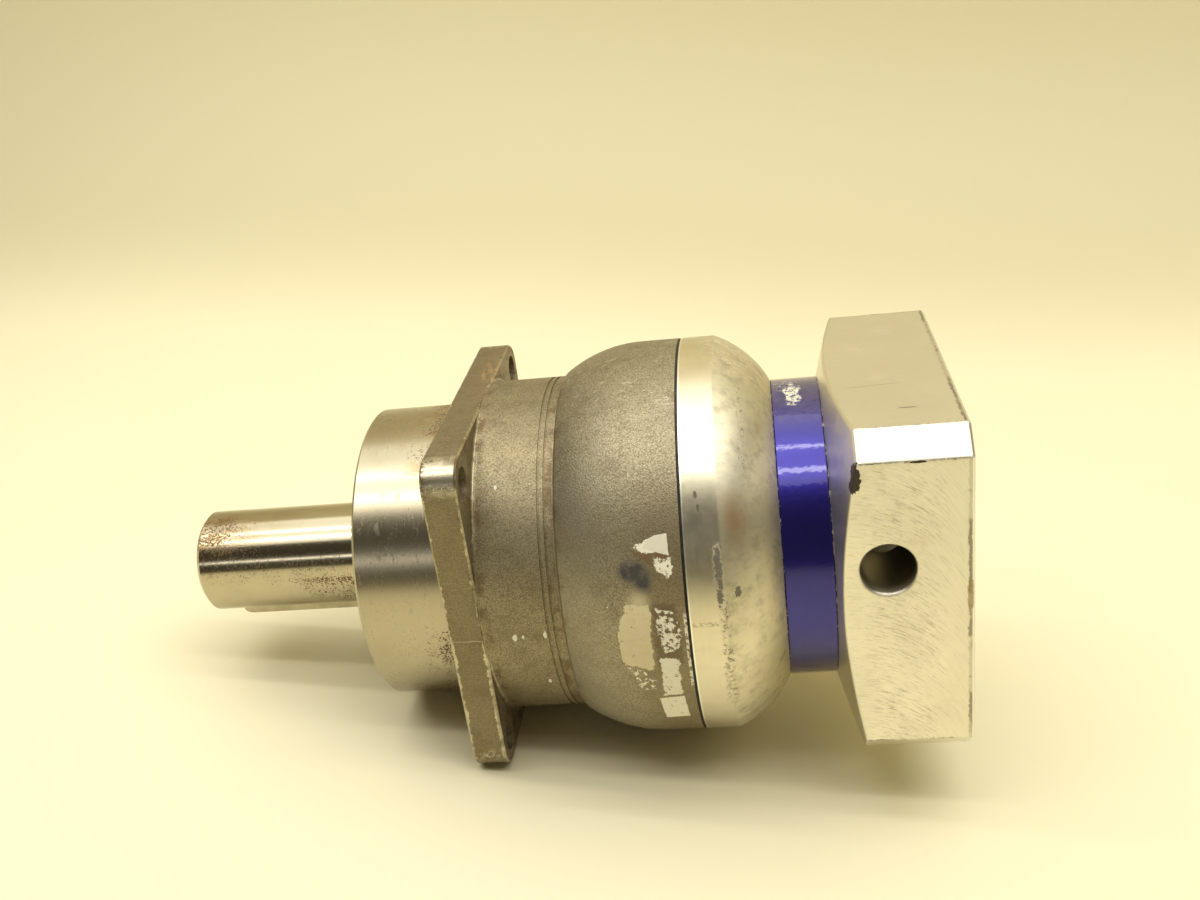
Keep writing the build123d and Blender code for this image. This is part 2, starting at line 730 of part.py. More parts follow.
def open_ring(x0, x1, inner_r, outer_r, gap):
    """A retaining ring with a gap at its top."""
    ring = tube(x0, x1, inner_r, outer_r)
    return ring - Pos((x0 + x1) / 2, 0, outer_r) * Box(x1 - x0 + 2, gap, outer_r)


def bell_circlip():
    inner_r = INPUT_OUTER_R - 2.5
    outer_r = INPUT_OUTER_R + 1.2
    gap = 8.0
    x0 = INPUT_BEARING_X[1]
    return open_ring(x0, x0 + CIRCLIP_WIDTH, inner_r, outer_r, gap)


def shaft_circlip():
    inner_r = 9.3
    outer_r = 12.2
    gap = 4.0
    x1 = INPUT_BEARING_X[0]
    return open_ring(x1 - CIRCLIP_WIDTH, x1, inner_r, outer_r, gap)


# ---- nodes ----
planet_angles = [FIRST_PLANET + i * 360 / PLANET_COUNT for i in range(PLANET_COUNT)]
nodes = {
    "output_housing": output_housing(),
    "output_seal": output_seal(),
    "housing_o_ring": housing_o_ring(),
    "ring_gear_housing": ring_gear_housing(),
    "ring_housing_screws": ring_housing_screws(),
    "bell_gasket": bell_gasket(),
    "input_bell": input_bell(),
    "adapter_ring": adapter_ring(),
    "motor_adapter_plate": motor_adapter_plate(),
    "adapter_screws": adapter_screws(),
    "input_seal": input_seal(),
    "bell_circlip": bell_circlip(),
    "output_shaft": output_shaft(),
    "output_key": output_key(),
    "bearing_nut": bearing_nut(),
    "bearing_spacer": bearing_spacer(),
    "planet_pins": planet_pins(),
    "planet_thrust_washers": planet_thrust_washers(),
    "input_shaft": input_shaft(),
    "clamp_ring": clamp_ring(),
    "clamp_screw": clamp_screw(),
    "shaft_circlip": shaft_circlip(),
    "input_bearing_outer_race": input_bearing_outer_race(),
    "input_bearing_inner_race": input_bearing_inner_race(),
    "input_bearing_balls": input_bearing_balls(),
    "input_bearing_cage": input_bearing_cage(),
}
for place, back_x, large_end in (("front", FRONT_CUP_BACK_X, -1), ("rear", REAR_CUP_BACK_X, 1)):
    nodes[f"{place}_bearing_cup"] = placed_bearing(cup(), back_x, large_end)
    nodes[f"{place}_bearing_cone"] = placed_bearing(cone(), back_x, large_end)
    nodes[f"{place}_bearing_rollers"] = placed_bearing(rollers(), back_x, large_end)
    nodes[f"{place}_bearing_cage"] = placed_bearing(roller_cage(), back_x, large_end)
for number, angle in enumerate(planet_angles, start=1):
    nodes[f"planet_gear_{number}"] = planet_gear(angle)
    nodes[f"planet_needles_{number}"] = planet_needles(angle)

for name, shape in nodes.items():
    export_step(shape, f"parts/{name}.step")
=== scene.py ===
import json
import math

import bpy
from mathutils import Matrix, Vector

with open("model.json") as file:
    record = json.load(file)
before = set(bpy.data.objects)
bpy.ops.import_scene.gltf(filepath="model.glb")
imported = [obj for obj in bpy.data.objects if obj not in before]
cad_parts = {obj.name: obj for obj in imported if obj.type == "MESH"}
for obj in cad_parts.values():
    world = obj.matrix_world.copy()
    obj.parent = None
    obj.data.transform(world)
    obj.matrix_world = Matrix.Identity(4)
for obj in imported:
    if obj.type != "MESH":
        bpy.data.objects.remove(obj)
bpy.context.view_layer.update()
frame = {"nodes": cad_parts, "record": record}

NODES = frame["nodes"]

# ---- measures that the materials follow, in millimetres of the row frame ----
FLANGE_BACK = 10.0
FLANGE_HOLE = 42.43
FLANGE_CORNER_R = 8.07
STEP_LINE_Z = -3.0
CYLINDER_R = 51.1
GROOVE_X = (28.5, 31.2)
BULGE_START = 34.0
BULGE_R = 59.9
BELL_START = 69.2
RIDGE_X = 78.75
SHOULDER_R = 58.0  # of the curved shoulder, where its marks are
BELL_END = 94.8
RING_R = 45.0
RING_END = 108.8
PLATE_END = 144.7
HALF_SIDE = 50.5
PLATE_FLAT = 43.7
CUTTER_R = 38.0
CUTTER_X = 108.0
ACCESS_X = 122.3
ACCESS_Z = 12.1
ACCESS_R = 7.5
MM_PER_DEGREE = BULGE_R * math.pi / 180

# white paint nicks on the cylinder: along the axis, degrees round it, size
NICKS = (
    (19.0, -3.2, (0.7, 1.0, 1.1)),
    (21.4, -3.0, (0.35, 0.8, 0.7)),
    (27.7, -2.6, (0.5, 1.0, 1.2)),
    (26.0, -24.0, (0.5, 0.9, 0.9)),
    (17.0, 46.0, (0.5, 0.8, 0.6)),
)

# what is left of the label, as outlines of (millimetres along the axis, degrees round it)
LABEL_FILM = ((59.4, 26.9), (61.5, 28.0), (64.9, 28.3), (65.2, 22.7), (61.8, 23.8), (58.4, 24.9))
LABEL_WING = ((56.2, 25.4), (61.0, 27.4), (62.0, 24.0), (58.0, 23.4))
LABEL_TONGUE = ((61.2, 22.2), (65.5, 22.0), (65.7, 19.0), (64.3, 17.0), (61.6, 19.2))
LABEL_RIPPED = ((55.4, 24.6), (61.6, 24.4), (65.0, 22.6), (64.0, 19.8), (60.0, 20.6), (56.0, 23.2))
LABEL_GLUE = (
    (51.9, 10.0), (59.2, 10.2), (58.8, 4.0), (58.9, -4.0),
    (58.4, -10.0), (53.8, -8.9), (49.9, -7.2), (49.2, 0.5),
)
LABEL_BED = ((59.2, 10.6), (65.5, 10.0), (67.0, 0.0), (66.3, -8.0), (59.2, -8.5))
LABEL_UPPER = ((60.4, 9.4), (64.9, 7.6), (66.6, 1.2), (65.4, -3.2), (61.6, -4.6), (60.0, 2.0))
LABEL_STEM = ((60.2, -5.6), (65.0, -6.4), (65.0, -20.0), (59.8, -20.5))
LABEL_SQUARE = ((58.2, -21.6), (65.2, -20.9), (65.7, -32.7), (59.0, -33.3))
LABEL_CRUMBS = ((50.4, -8.6), (57.8, -11.5), (58.4, -17.5), (54.5, -18.6))

# ---- colours ----
SHAFT_STEEL = ((0.50, 0.45, 0.32), (0.45, 0.405, 0.288))
SHAFT_STAIN = (0.33, 0.215, 0.080)
PILOT_STEEL = ((0.46, 0.412, 0.292), (0.41, 0.365, 0.258))
PILOT_SCUFF = (0.32, 0.28, 0.19)
PILOT_STAIN = (0.34, 0.20, 0.075)
RUST = (0.20, 0.098, 0.024)
RUST_DARK = (0.070, 0.034, 0.012)
RUST_STREAK = (0.42, 0.24, 0.07)
RUST_FOOT = (0.155, 0.095, 0.045)
COAT = ((0.298, 0.252, 0.156), (0.372, 0.322, 0.208))
COAT_DARK = (0.175, 0.138, 0.078)
COAT_SPARK = (0.52, 0.46, 0.32)
COAT_ON_FLANGE = (0.215, 0.165, 0.088)
WORN = ((0.66, 0.60, 0.44), (0.44, 0.39, 0.27))
WORN_LINE = (0.50, 0.45, 0.33)
RUBBED = ((0.54, 0.49, 0.36), (0.34, 0.29, 0.19))
CHIPPED = (0.10, 0.075, 0.045)
BULGE_COAT = ((0.325, 0.288, 0.192), (0.392, 0.350, 0.240))
BULGE_SPARK = (0.66, 0.60, 0.44)
BULGE_HANDLED = (0.245, 0.188, 0.105)
BULGE_GREY = (0.340, 0.315, 0.235)
BULGE_SCUFF = (0.56, 0.51, 0.38)
SOOT = (0.035, 0.035, 0.042)
PAPER = ((0.86, 0.82, 0.66), (0.93, 0.90, 0.76))
GLUE = ((0.70, 0.60, 0.36), (0.80, 0.71, 0.47))
LABEL_SHADE = (0.125, 0.085, 0.040)
PRINT = (0.42, 0.40, 0.31)
TEAR = (0.16, 0.085, 0.030)
ALUMINIUM = ((0.78, 0.73, 0.56), (0.70, 0.65, 0.49))
ALUMINIUM_DARK = (0.46, 0.42, 0.30)
BELL_CLOUD = (0.38, 0.34, 0.24)
BELL_BROWN = (0.40, 0.27, 0.13)
BELL_SCRATCH = (0.30, 0.27, 0.19)
BELL_RUB = (0.11, 0.10, 0.075)
BELL_GRAZE = (0.24, 0.21, 0.14)
BELL_DING_AND_RIM_HIGHLIGHT = (0.92, 0.90, 0.76)
MILLED = ((0.91, 0.87, 0.73), (0.84, 0.80, 0.66))
MILLED_MARK = (0.38, 0.335, 0.23)
MILLED_TOP_SHADE = (0.58, 0.53, 0.40)
MILLED_STAIN = (0.60, 0.52, 0.38)
MILLED_DENT = (0.38, 0.34, 0.27)
MILLED_BRUISE = (0.26, 0.22, 0.16)
MILLED_EDGE = (0.90, 0.88, 0.82)
MILLED_SCRATCH = (0.22, 0.19, 0.15)
MILLED_RUST = (0.42, 0.27, 0.08)
MILLED_HOLE_SHADE = (0.20, 0.165, 0.105)
OLD_PAINT = (0.040, 0.025, 0.015)
BLUE = ((0.020, 0.015, 0.205), (0.023, 0.017, 0.23))
BLUE_LIGHT = (0.040, 0.032, 0.32)
BLUE_DUST = (0.20, 0.17, 0.20)
BLUE_SCRATCH = (0.22, 0.20, 0.34)
WHITE_PAINT = (0.80, 0.78, 0.66)
BLACK_OXIDE = ((0.030, 0.029, 0.030), (0.075, 0.068, 0.060))
OXIDE_RUB = (0.34, 0.31, 0.27)
RUBBER = ((0.018, 0.018, 0.019), (0.070, 0.064, 0.052))
CREAM_FLOOR = ((0.93, 0.87, 0.62), (0.91, 0.85, 0.61))
CREAM_WALL_SHADE = (0.72, 0.65, 0.42)


# ---- node helpers: every length in a material is in millimetres of the row frame ----
def colour(value):
    return (*value, 1.0) if isinstance(value, tuple) and len(value) == 3 else value


class Looks:
    """One procedural material. Its helpers add a node and give back that node's output socket."""

    def __init__(self, name):
        self.material = bpy.data.materials.new(name)
        self.material.use_nodes = True
        self.tree = self.material.node_tree
        self.shader = self.tree.nodes["Principled BSDF"]
        coordinates = self.tree.nodes.new("ShaderNodeTexCoord")
        self.point = self.vector("SCALE", coordinates.outputs["Object"], scale=1000.0)
        self.x, self.y, self.z = self.split(self.point)
        self.nx, self.ny, self.nz = self.split(coordinates.outputs["Normal"])

    def link(self, value, socket):
        if isinstance(value, bpy.types.NodeSocket):
            self.tree.links.new(value, socket)
        else:
            socket.default_value = value

    # vectors
    def split(self, vector):
        node = self.tree.nodes.new("ShaderNodeSeparateXYZ")
        self.link(vector, node.inputs[0])
        return node.outputs

    def join(self, x, y, z):
        node = self.tree.nodes.new("ShaderNodeCombineXYZ")
        for value, socket in zip((x, y, z), node.inputs):
            self.link(value, socket)
        return node.outputs[0]

    def vector(self, operation, first, second=None, scale=None, output="Vector"):
        node = self.tree.nodes.new("ShaderNodeVectorMath")
        node.operation = operation
        self.link(first, node.inputs[0])
        if second is not None:
            self.link(second, node.inputs[1])
        if scale is not None:
            self.link(scale, node.inputs["Scale"])
        return node.outputs[output]

    def dot(self, first, second):
        return self.vector("DOT_PRODUCT", first, second, output="Value")

    def length(self, vector):
        return self.vector("LENGTH", vector, output="Value")

    def stretch(self, sx, sy, sz):
        return self.vector("MULTIPLY", self.point, (sx, sy, sz))

    def moved(self, dx, dy, dz):
        return self.vector("ADD", self.point, (dx, dy, dz))

    # arithmetic
    def math(self, operation, first, second=None):
        node = self.tree.nodes.new("ShaderNodeMath")
        node.operation = operation
        self.link(first, node.inputs[0])
        if second is not None:
            self.link(second, node.inputs[1])
        return node.outputs[0]

    def fold(self, operation, values):
        result = values[0]
        for value in values[1:]:
            result = self.math(operation, result, value)
        return result

    def times(self, *values):
        return self.fold("MULTIPLY", values)

    def plus(self, *values):
        return self.fold("ADD", values)

    def biggest(self, *values):
        return self.fold("MAXIMUM", values)

    def smallest(self, *values):
        return self.fold("MINIMUM", values)

    def less(self, first, second):
        return self.math("SUBTRACT", first, second)

    def inverse(self, value):
        return self.math("SUBTRACT", 1.0, value)

    def absolute(self, value):
        return self.math("ABSOLUTE", value)

    def ramp(self, value, low, high, to_low=0.0, to_high=1.0):
        """Smooth step of value from low to high."""
        node = self.tree.nodes.new("ShaderNodeMapRange")
        node.interpolation_type = "SMOOTHSTEP"
        self.link(value, node.inputs["Value"])
        node.inputs["From Min"].default_value = low
        node.inputs["From Max"].default_value = high
        node.inputs["To Min"].default_value = to_low
        node.inputs["To Max"].default_value = to_high
        return node.outputs[0]

    def window(self, value, low, high, soft):
        """1 between low and high, falling to 0 over soft outside them."""
        rise = self.ramp(value, low - soft, low)
        fall = self.ramp(value, high, high + soft, 1.0, 0.0)
        return self.times(rise, fall)

    # noise
    def noise(self, scale, detail=3.0, roughness=0.55, point=None):
        node = self.tree.nodes.new("ShaderNodeTexNoise")
        self.link(self.point if point is None else point, node.inputs["Vector"])
        node.inputs["Scale"].default_value = scale
        node.inputs["Detail"].default_value = detail
        node.inputs["Roughness"].default_value = roughness
        return node.outputs["Fac"]

    def cells(self, scale):
        node = self.tree.nodes.new("ShaderNodeTexVoronoi")
        self.link(self.point, node.inputs["Vector"])
        node.inputs["Scale"].default_value = scale
        return node.outputs["Distance"]

    def patches(self, low, high, scale, detail=3.0, roughness=0.55, point=None):
        """Irregular patches: 0 where the noise is short of low, 1 where it is past high."""
        return self.ramp(self.noise(scale, detail, roughness, point), low, high)

    def sway(self, reach, scale, detail=3.0, roughness=0.55):
        """Noise about 0 that pushes a line or an edge to either side."""
        return self.times(self.less(self.noise(scale, detail, roughness), 0.5), reach)

    # colour and relief
    def mix(self, factor, first, second):
        node = self.tree.nodes.new("ShaderNodeMix")
        node.data_type = "RGBA"
        self.link(factor, node.inputs["Factor"])
        self.link(colour(first), node.inputs["A"])
        self.link(colour(second), node.inputs["B"])
        return node.outputs["Result"]

    def blend(self, factor, first, second):
        node = self.tree.nodes.new("ShaderNodeMix")
        node.data_type = "FLOAT"
        self.link(factor, node.inputs["Factor"])
        self.link(first, node.inputs["A"])
        self.link(second, node.inputs["B"])
        return node.outputs["Result"]

    def bump(self, height, depth_mm, normal=None):
        """Relief whose height runs from 0 to 1 over depth_mm."""
        node = self.tree.nodes.new("ShaderNodeBump")
        node.inputs["Strength"].default_value = 1.0
        node.inputs["Distance"].default_value = depth_mm / 1000
        self.link(height, node.inputs["Height"])
        if normal is not None:
            self.link(normal, node.inputs["Normal"])
        return node.outputs[0]

    def rounded(self, radius_mm):
        """A normal that turns smoothly over the part's edges, as if they were eased to this radius."""
        node = self.tree.nodes.new("ShaderNodeBevel")
        node.samples = 6
        node.inputs["Radius"].default_value = radius_mm / 1000
        return node.outputs[0]

    # places on the object
    def around_angle(self):
        """Degrees about the gearbox axis, from the side with the access hole up towards +Z."""
        angle = self.math("ARCTAN2", self.z, self.math("MULTIPLY", self.y, -1.0))
        return self.math("MULTIPLY", angle, 180 / math.pi)

    def radius(self):
        return self.math("SQRT", self.plus(self.times(self.y, self.y), self.times(self.z, self.z)))

    def patch(self, centre, size, ragged, grain, detail=5.0):
        """A torn patch: 1 inside an ellipsoid with a ragged edge, 0 outside."""
        away = self.vector("DIVIDE", self.vector("SUBTRACT", self.point, centre), size)
        wobble = self.sway(ragged, grain, detail, 0.6)
        return self.ramp(self.plus(self.length(away), wobble), 1.03, 0.97)

    def spot(self, centre, size):
        """A soft spot: 1 at centre, falling to 0 at the ellipsoid's surface."""
        away = self.vector("DIVIDE", self.vector("SUBTRACT", self.point, centre), size)
        return self.ramp(self.length(away), 1.0, 0.0)

    def warped(self, amount, grain, seed):
        """(along, around, 1) in millimetres, pushed about by noise so that an outline in them looks torn."""
        push_along = self.less(self.noise(grain, 6.0, 0.72, self.moved(seed, 0.0, 0.0)), 0.5)
        push_around = self.less(self.noise(grain, 6.0, 0.72, self.moved(0.0, seed, 9.0)), 0.5)
        along = self.plus(self.x, self.times(push_along, amount))
        around = self.math("MULTIPLY", self.around_angle(), MM_PER_DEGREE)
        return self.join(along, self.plus(around, self.times(push_around, amount)), 1.0)

    def cut_out(self, place, corners, soft=0.12):
        """1 inside a convex outline of (x, degrees) corners, read at place = (along, around, 1)."""
        corners = [(x, degrees * MM_PER_DEGREE) for x, degrees in corners]
        middle = [sum(corner[i] for corner in corners) / len(corners) for i in (0, 1)]
        distances = []
        for first, second in zip(corners, corners[1:] + corners[:1]):
            run = (second[0] - first[0], second[1] - first[1])
            length = math.hypot(*run)
            a, b = -run[1] / length, run[0] / length
            c = -(a * first[0] + b * first[1])
            side = 1 if a * middle[0] + b * middle[1] + c > 0 else -1
            distances.append(self.dot(place, (a * side, b * side, c * side)))
        return self.ramp(self.smallest(*distances), -soft, soft)

    def finish(self, base, roughness, metallic, normal=None, **constants):
        self.link(colour(base), self.shader.inputs["Base Color"])
        self.link(roughness, self.shader.inputs["Roughness"])
        self.link(metallic, self.shader.inputs["Metallic"])
        if normal is not None:
            self.link(normal, self.shader.inputs["Normal"])
            if "Coat_Weight" in constants:
                self.link(normal, self.shader.inputs["Coat Normal"])
        for socket, value in constants.items():
            self.shader.inputs[socket.replace("_", " ")].default_value = value
        return self.material


def on_cylinder(x, degrees, radius):
    """A point on a cylinder about the gearbox axis, at an angle from the access hole's side up towards +Z."""
    angle = math.radians(degrees)
    return (x, -radius * math.cos(angle), radius * math.sin(angle))


# ---- marks that more than one material has ----
def rust_specks(m, amount):
    """Small rust pits, denser where amount is nearer 1."""
    pits = m.noise(1.5, 4.0, 0.75)
    fine = m.noise(3.4, 3.0, 0.7)
    threshold = m.blend(amount, 0.645, 0.47)
    return m.ramp(m.less(m.plus(m.times(pits, 0.65), m.times(fine, 0.35)), threshold), 0.0, 0.04)


def ring_marks(m, across, along):
    """Fine lines around the axis: quick change along X and slow change round the circle."""
    return m.noise(1.0, 3.0, 0.65, m.stretch(across, along, along))


def sand_grain(m):
    """The blasted surface: grains of a third to half a millimetre."""
    return m.plus(m.times(m.noise(1.9, 3.0, 0.7), 0.7), m.times(m.cells(2.2), 0.3))


def blasted_coat(m, broad, middle, grain, tints, stained, spark):
    """The coat's colour: two tints in broad clouds, darker stains, and dark and bright grains."""
    coat = m.mix(m.ramp(broad, 0.3, 0.7), *tints)
    coat = m.mix(m.times(m.ramp(middle, 0.45, 0.75), stained), coat, COAT_DARK)
    coat = m.mix(m.times(m.ramp(grain, 0.46, 0.62), 0.66), coat, COAT_DARK)
    return m.mix(m.times(m.ramp(grain, 0.43, 0.30), 0.55), coat, spark)


# ---- output shaft ----
def ground_steel(name):
    """Ground shaft steel with rust specks, mostly over its upper tip and along its lower root."""
    m = Looks(name)
    angle = m.around_angle()
    marks = ring_marks(m, 9.0, 0.12)
    broad = m.noise(0.09, 3.0)
    tip = m.ramp(m.x, -58.0, -84.0)
    root = m.ramp(m.x, -64.0, -46.0)
    upper = m.window(angle, 38.0, 80.0, 16.0)
    middle = m.window(angle, 0.0, 25.0, 10.0)
    lower = m.window(angle, -34.0, -4.0, 10.0)
    amount = m.plus(m.times(upper, tip, 0.84), m.times(lower, root, 0.62), m.times(middle, 0.42), 0.10)
    rust = rust_specks(m, m.times(amount, m.ramp(broad, 0.25, 0.55)))
    stain = m.patches(0.30, 0.70, 1.0, 5.0, 0.7, m.stretch(0.12, 0.35, 0.35))
    stain = m.times(stain, upper, m.ramp(m.x, -52.0, -86.0))

    base = m.mix(m.ramp(broad, 0.4, 0.75), *SHAFT_STEEL)
    base = m.mix(m.times(stain, 0.85), base, SHAFT_STAIN)
    base = m.mix(rust, base, m.mix(m.noise(2.0), RUST, RUST_DARK))
    roughness = m.plus(0.10, m.times(marks, 0.10), m.times(stain, 0.08), m.times(rust, 0.5))
    metallic = m.inverse(m.times(rust, 0.9))
    height = m.plus(m.times(marks, 0.6), m.times(rust, -0.7))
    return m.finish(base, roughness, metallic, m.bump(height, 0.006))


# ---- output housing ----
def flange_sides(m):
    """1 on the flange's four flat sides."""
    reach = m.biggest(m.absolute(m.y), m.absolute(m.z))
    on_flange = m.ramp(m.x, FLANGE_BACK + 0.3, FLANGE_BACK - 0.1)
    return m.times(on_flange, m.ramp(reach, HALF_SIDE - 0.9, HALF_SIDE - 0.2))


def worn_arrises(m, sides, bite):
    """Bright wear: the chamfers, ragged strips beside them, wider on the lower near side, and the corners."""
    chamfer = m.window(m.absolute(m.nx), 0.45, 0.92, 0.05)
    chamfer = m.times(chamfer, m.ramp(m.x, FLANGE_BACK + 0.8, FLANGE_BACK + 0.4), m.ramp(m.x, -0.6, -0.2))
    chamfer = m.times(chamfer, m.patches(0.34, 0.44, 0.4, 4.0, 0.7))
    lower = m.times(m.ramp(m.y, -49.0, -50.0), m.ramp(m.z, STEP_LINE_Z, STEP_LINE_Z - 1.2))
    from_rim = m.smallest(m.absolute(m.x), m.absolute(m.less(m.x, FLANGE_BACK)))
    strip = m.plus(from_rim, m.times(bite, 3.6), m.times(lower, -0.45))
    strip = m.times(m.ramp(strip, 0.62, 0.40), sides)
    corner = m.ramp(m.smallest(m.absolute(m.y), m.absolute(m.z)), 40.5, 44.0)
    corner = m.times(corner, sides, m.patches(0.48, 0.58, 0.6, 5.0, 0.7))
    return m.biggest(chamfer, strip, corner)


def rubbed_corner(m):
    """1 round the outside of the flange's upper near corner, which is rubbed bright."""
    from_hole = m.length(m.join(0.0, m.plus(m.y, FLANGE_HOLE), m.less(m.z, FLANGE_HOLE)))
    return m.times(
        m.ramp(from_hole, FLANGE_CORNER_R - 0.77, FLANGE_CORNER_R - 0.37),
        m.ramp(m.y, 1.0 - FLANGE_HOLE, -1.0 - FLANGE_HOLE),
        m.ramp(m.z, FLANGE_HOLE - 1.0, FLANGE_HOLE + 1.0),
        m.ramp(m.x, FLANGE_BACK + 0.3, FLANGE_BACK - 0.2),
        m.ramp(m.x, -0.3, 0.1),
    )


def flange_lines(m, sides):
    """A step line across the near side, and a few tool lines."""
    step = m.plus(m.z, m.times(m.noise(0.4, 4.0), 1.2))
    step = m.window(step, STEP_LINE_Z - 0.25, STEP_LINE_Z, 0.12)
    step = m.times(step, m.ramp(m.y, -49.8, -50.3), sides)
    tool = m.times(sides, m.window(m.noise(1.0, 2.0, point=m.stretch(0.2, 1.4, 1.4)), 0.60, 0.63, 0.01))
    return m.biggest(m.times(step, 0.9), m.times(tool, 0.25))


def rusty_feet(m):
    """Brown dirt where the cylinder meets the flange, and behind its rear groove."""
    at_flange = m.window(m.x, FLANGE_BACK, FLANGE_BACK + 2.0, 1.6)
    at_flange = m.times(at_flange, m.patches(0.44, 0.66, 0.16, 4.0, 0.65), 0.50)
    at_groove = m.window(m.x, 30.9, 33.2, 0.8)
    return m.biggest(at_flange, m.times(at_groove, m.patches(0.42, 0.60, 0.14, 4.0, 0.65), 0.60))


def blasted_housing(name):
    """Output housing: bright ground pilot, and a blasted grey-brown coat on the flange and cylinder."""
    m = Looks(name)
    angle = m.around_angle()
    radius = m.radius()
    grain = sand_grain(m)
    broad = m.noise(0.035, 4.0)
    middle = m.noise(0.16, 4.0, 0.6)
    pilot = m.times(m.ramp(m.x, 0.35, -0.15), m.ramp(radius, 52.0, 50.9))
    sides = flange_sides(m)
    bite = m.less(m.noise(0.42, 6.0, 0.75, m.moved(0.0, 31.0, 0.0)), 0.5)
    worn = m.times(worn_arrises(m, sides, bite), m.inverse(pilot))
    rubbed = rubbed_corner(m)
    chipped = m.ramp(m.plus(m.noise(0.55, 4.0, 0.7), m.times(m.x, -0.05)), 0.46, 0.52)
    lines = flange_lines(m, sides)
    # painted shade: the groove round the cylinder is darkened
    groove = m.times(m.ramp(radius, CYLINDER_R - 0.1, CYLINDER_R - 0.35), m.window(m.x, *GROOVE_X, 0.1))
    nicks = [m.patch(on_cylinder(x, degrees, CYLINDER_R), size, 1.5, 1.6, 3.0) for x, degrees, size in NICKS]
    nicks = m.biggest(*nicks)

    # the pilot's turning marks and scuffs
    marks = ring_marks(m, 7.0, 0.10)
    scuffs = m.patches(0.56, 0.74, 1.0, 5.0, 0.7, m.stretch(0.5, 0.16, 0.16))

    # rust: on the pilot near the flange, high and low, and a streak over the flange's top edge
    near_flange = m.ramp(m.x, -18.0, -1.0)
    upper = m.window(angle, 58.0, 150.0, 12.0)
    lower = m.window(angle, -70.0, -12.0, 14.0)
    amount = m.plus(m.times(near_flange, m.plus(m.times(upper, 0.75), m.times(lower, 0.78))), 0.24)
    rust = m.times(rust_specks(m, m.times(amount, m.patches(0.30, 0.6, 0.12, 3.0))), pilot)
    stain = m.patches(0.44, 0.64, 1.0, 4.0, point=m.stretch(0.12, 0.25, 0.25))
    stain = m.times(stain, pilot, near_flange, upper)
    seep = m.patches(0.46, 0.62, 1.0, 5.0, 0.7, m.stretch(0.9, 0.16, 0.9))
    streak = m.times(m.spot((7.6, 16.0, HALF_SIDE), (4.2, 22.0, 6.0)), seep)
    dots = m.window(m.x, FLANGE_BACK + 0.2, FLANGE_BACK + 4.5, 2.0)
    dots = m.times(dots, m.patches(0.63, 0.67, 1.0, 3.0, 0.7))
    foot = rusty_feet(m)

    coat = blasted_coat(m, broad, middle, grain, COAT, 0.55, COAT_SPARK)
    coat = m.mix(m.times(sides, 0.55), coat, COAT_ON_FLANGE)
    steel = m.mix(m.ramp(broad, 0.4, 0.7), *PILOT_STEEL)
    steel = m.mix(m.times(scuffs, 0.30), steel, PILOT_SCUFF)
    base = m.mix(pilot, coat, steel)
    # painted shade in the groove
    base = m.mix(m.times(groove, 0.25), base, COAT_DARK)
    base = m.mix(m.times(lines, 0.8), base, WORN_LINE)
    base = m.mix(m.times(worn, 0.85), base, m.mix(m.ramp(bite, -0.1, 0.1), *WORN))
    base = m.mix(m.times(rubbed, 0.8), base, m.mix(m.ramp(middle, 0.42, 0.62), *RUBBED))
    base = m.mix(m.times(rubbed, chipped, 0.8), base, CHIPPED)
    base = m.mix(m.times(stain, 0.7), base, PILOT_STAIN)
    base = m.mix(m.biggest(rust, m.times(dots, 0.7)), base, m.mix(m.noise(1.3), RUST, RUST_DARK))
    base = m.mix(m.times(streak, 0.8), base, RUST_STREAK)
    base = m.mix(foot, base, RUST_FOOT)
    base = m.mix(nicks, base, WHITE_PAINT)

    coat_roughness = m.plus(0.46, m.times(grain, 0.12), m.times(m.less(middle, 0.5), 0.15))
    steel_roughness = m.plus(0.20, m.times(marks, 0.10), m.times(scuffs, 0.16))
    rusty = m.biggest(rust, streak)
    roughness = m.blend(pilot, coat_roughness, steel_roughness)
    roughness = m.blend(worn, roughness, 0.34)
    roughness = m.blend(rubbed, roughness, m.plus(0.18, m.times(grain, 0.22)))
    roughness = m.plus(roughness, m.times(rusty, 0.4), m.times(stain, 0.2), m.times(foot, 0.2))
    metallic = m.blend(worn, m.blend(pilot, 0.88, 1.0), 1.0)
    metallic = m.times(metallic, m.inverse(m.times(m.biggest(rusty, nicks), 0.92)))
    coat_height = m.times(grain, m.inverse(pilot), m.inverse(m.times(m.biggest(worn, rubbed), 0.8)))
    steel_height = m.plus(m.times(marks, pilot, 0.25), m.times(rust, -0.8), m.times(scuffs, pilot, 0.1))
    normal = m.bump(steel_height, 0.012, m.bump(coat_height, 0.10))
    normal = m.bump(m.plus(m.times(worn, -1.0), m.times(lines, 0.8), m.times(nicks, 1.0)), 0.08, normal)
    return m.finish(base, roughness, metallic, normal)


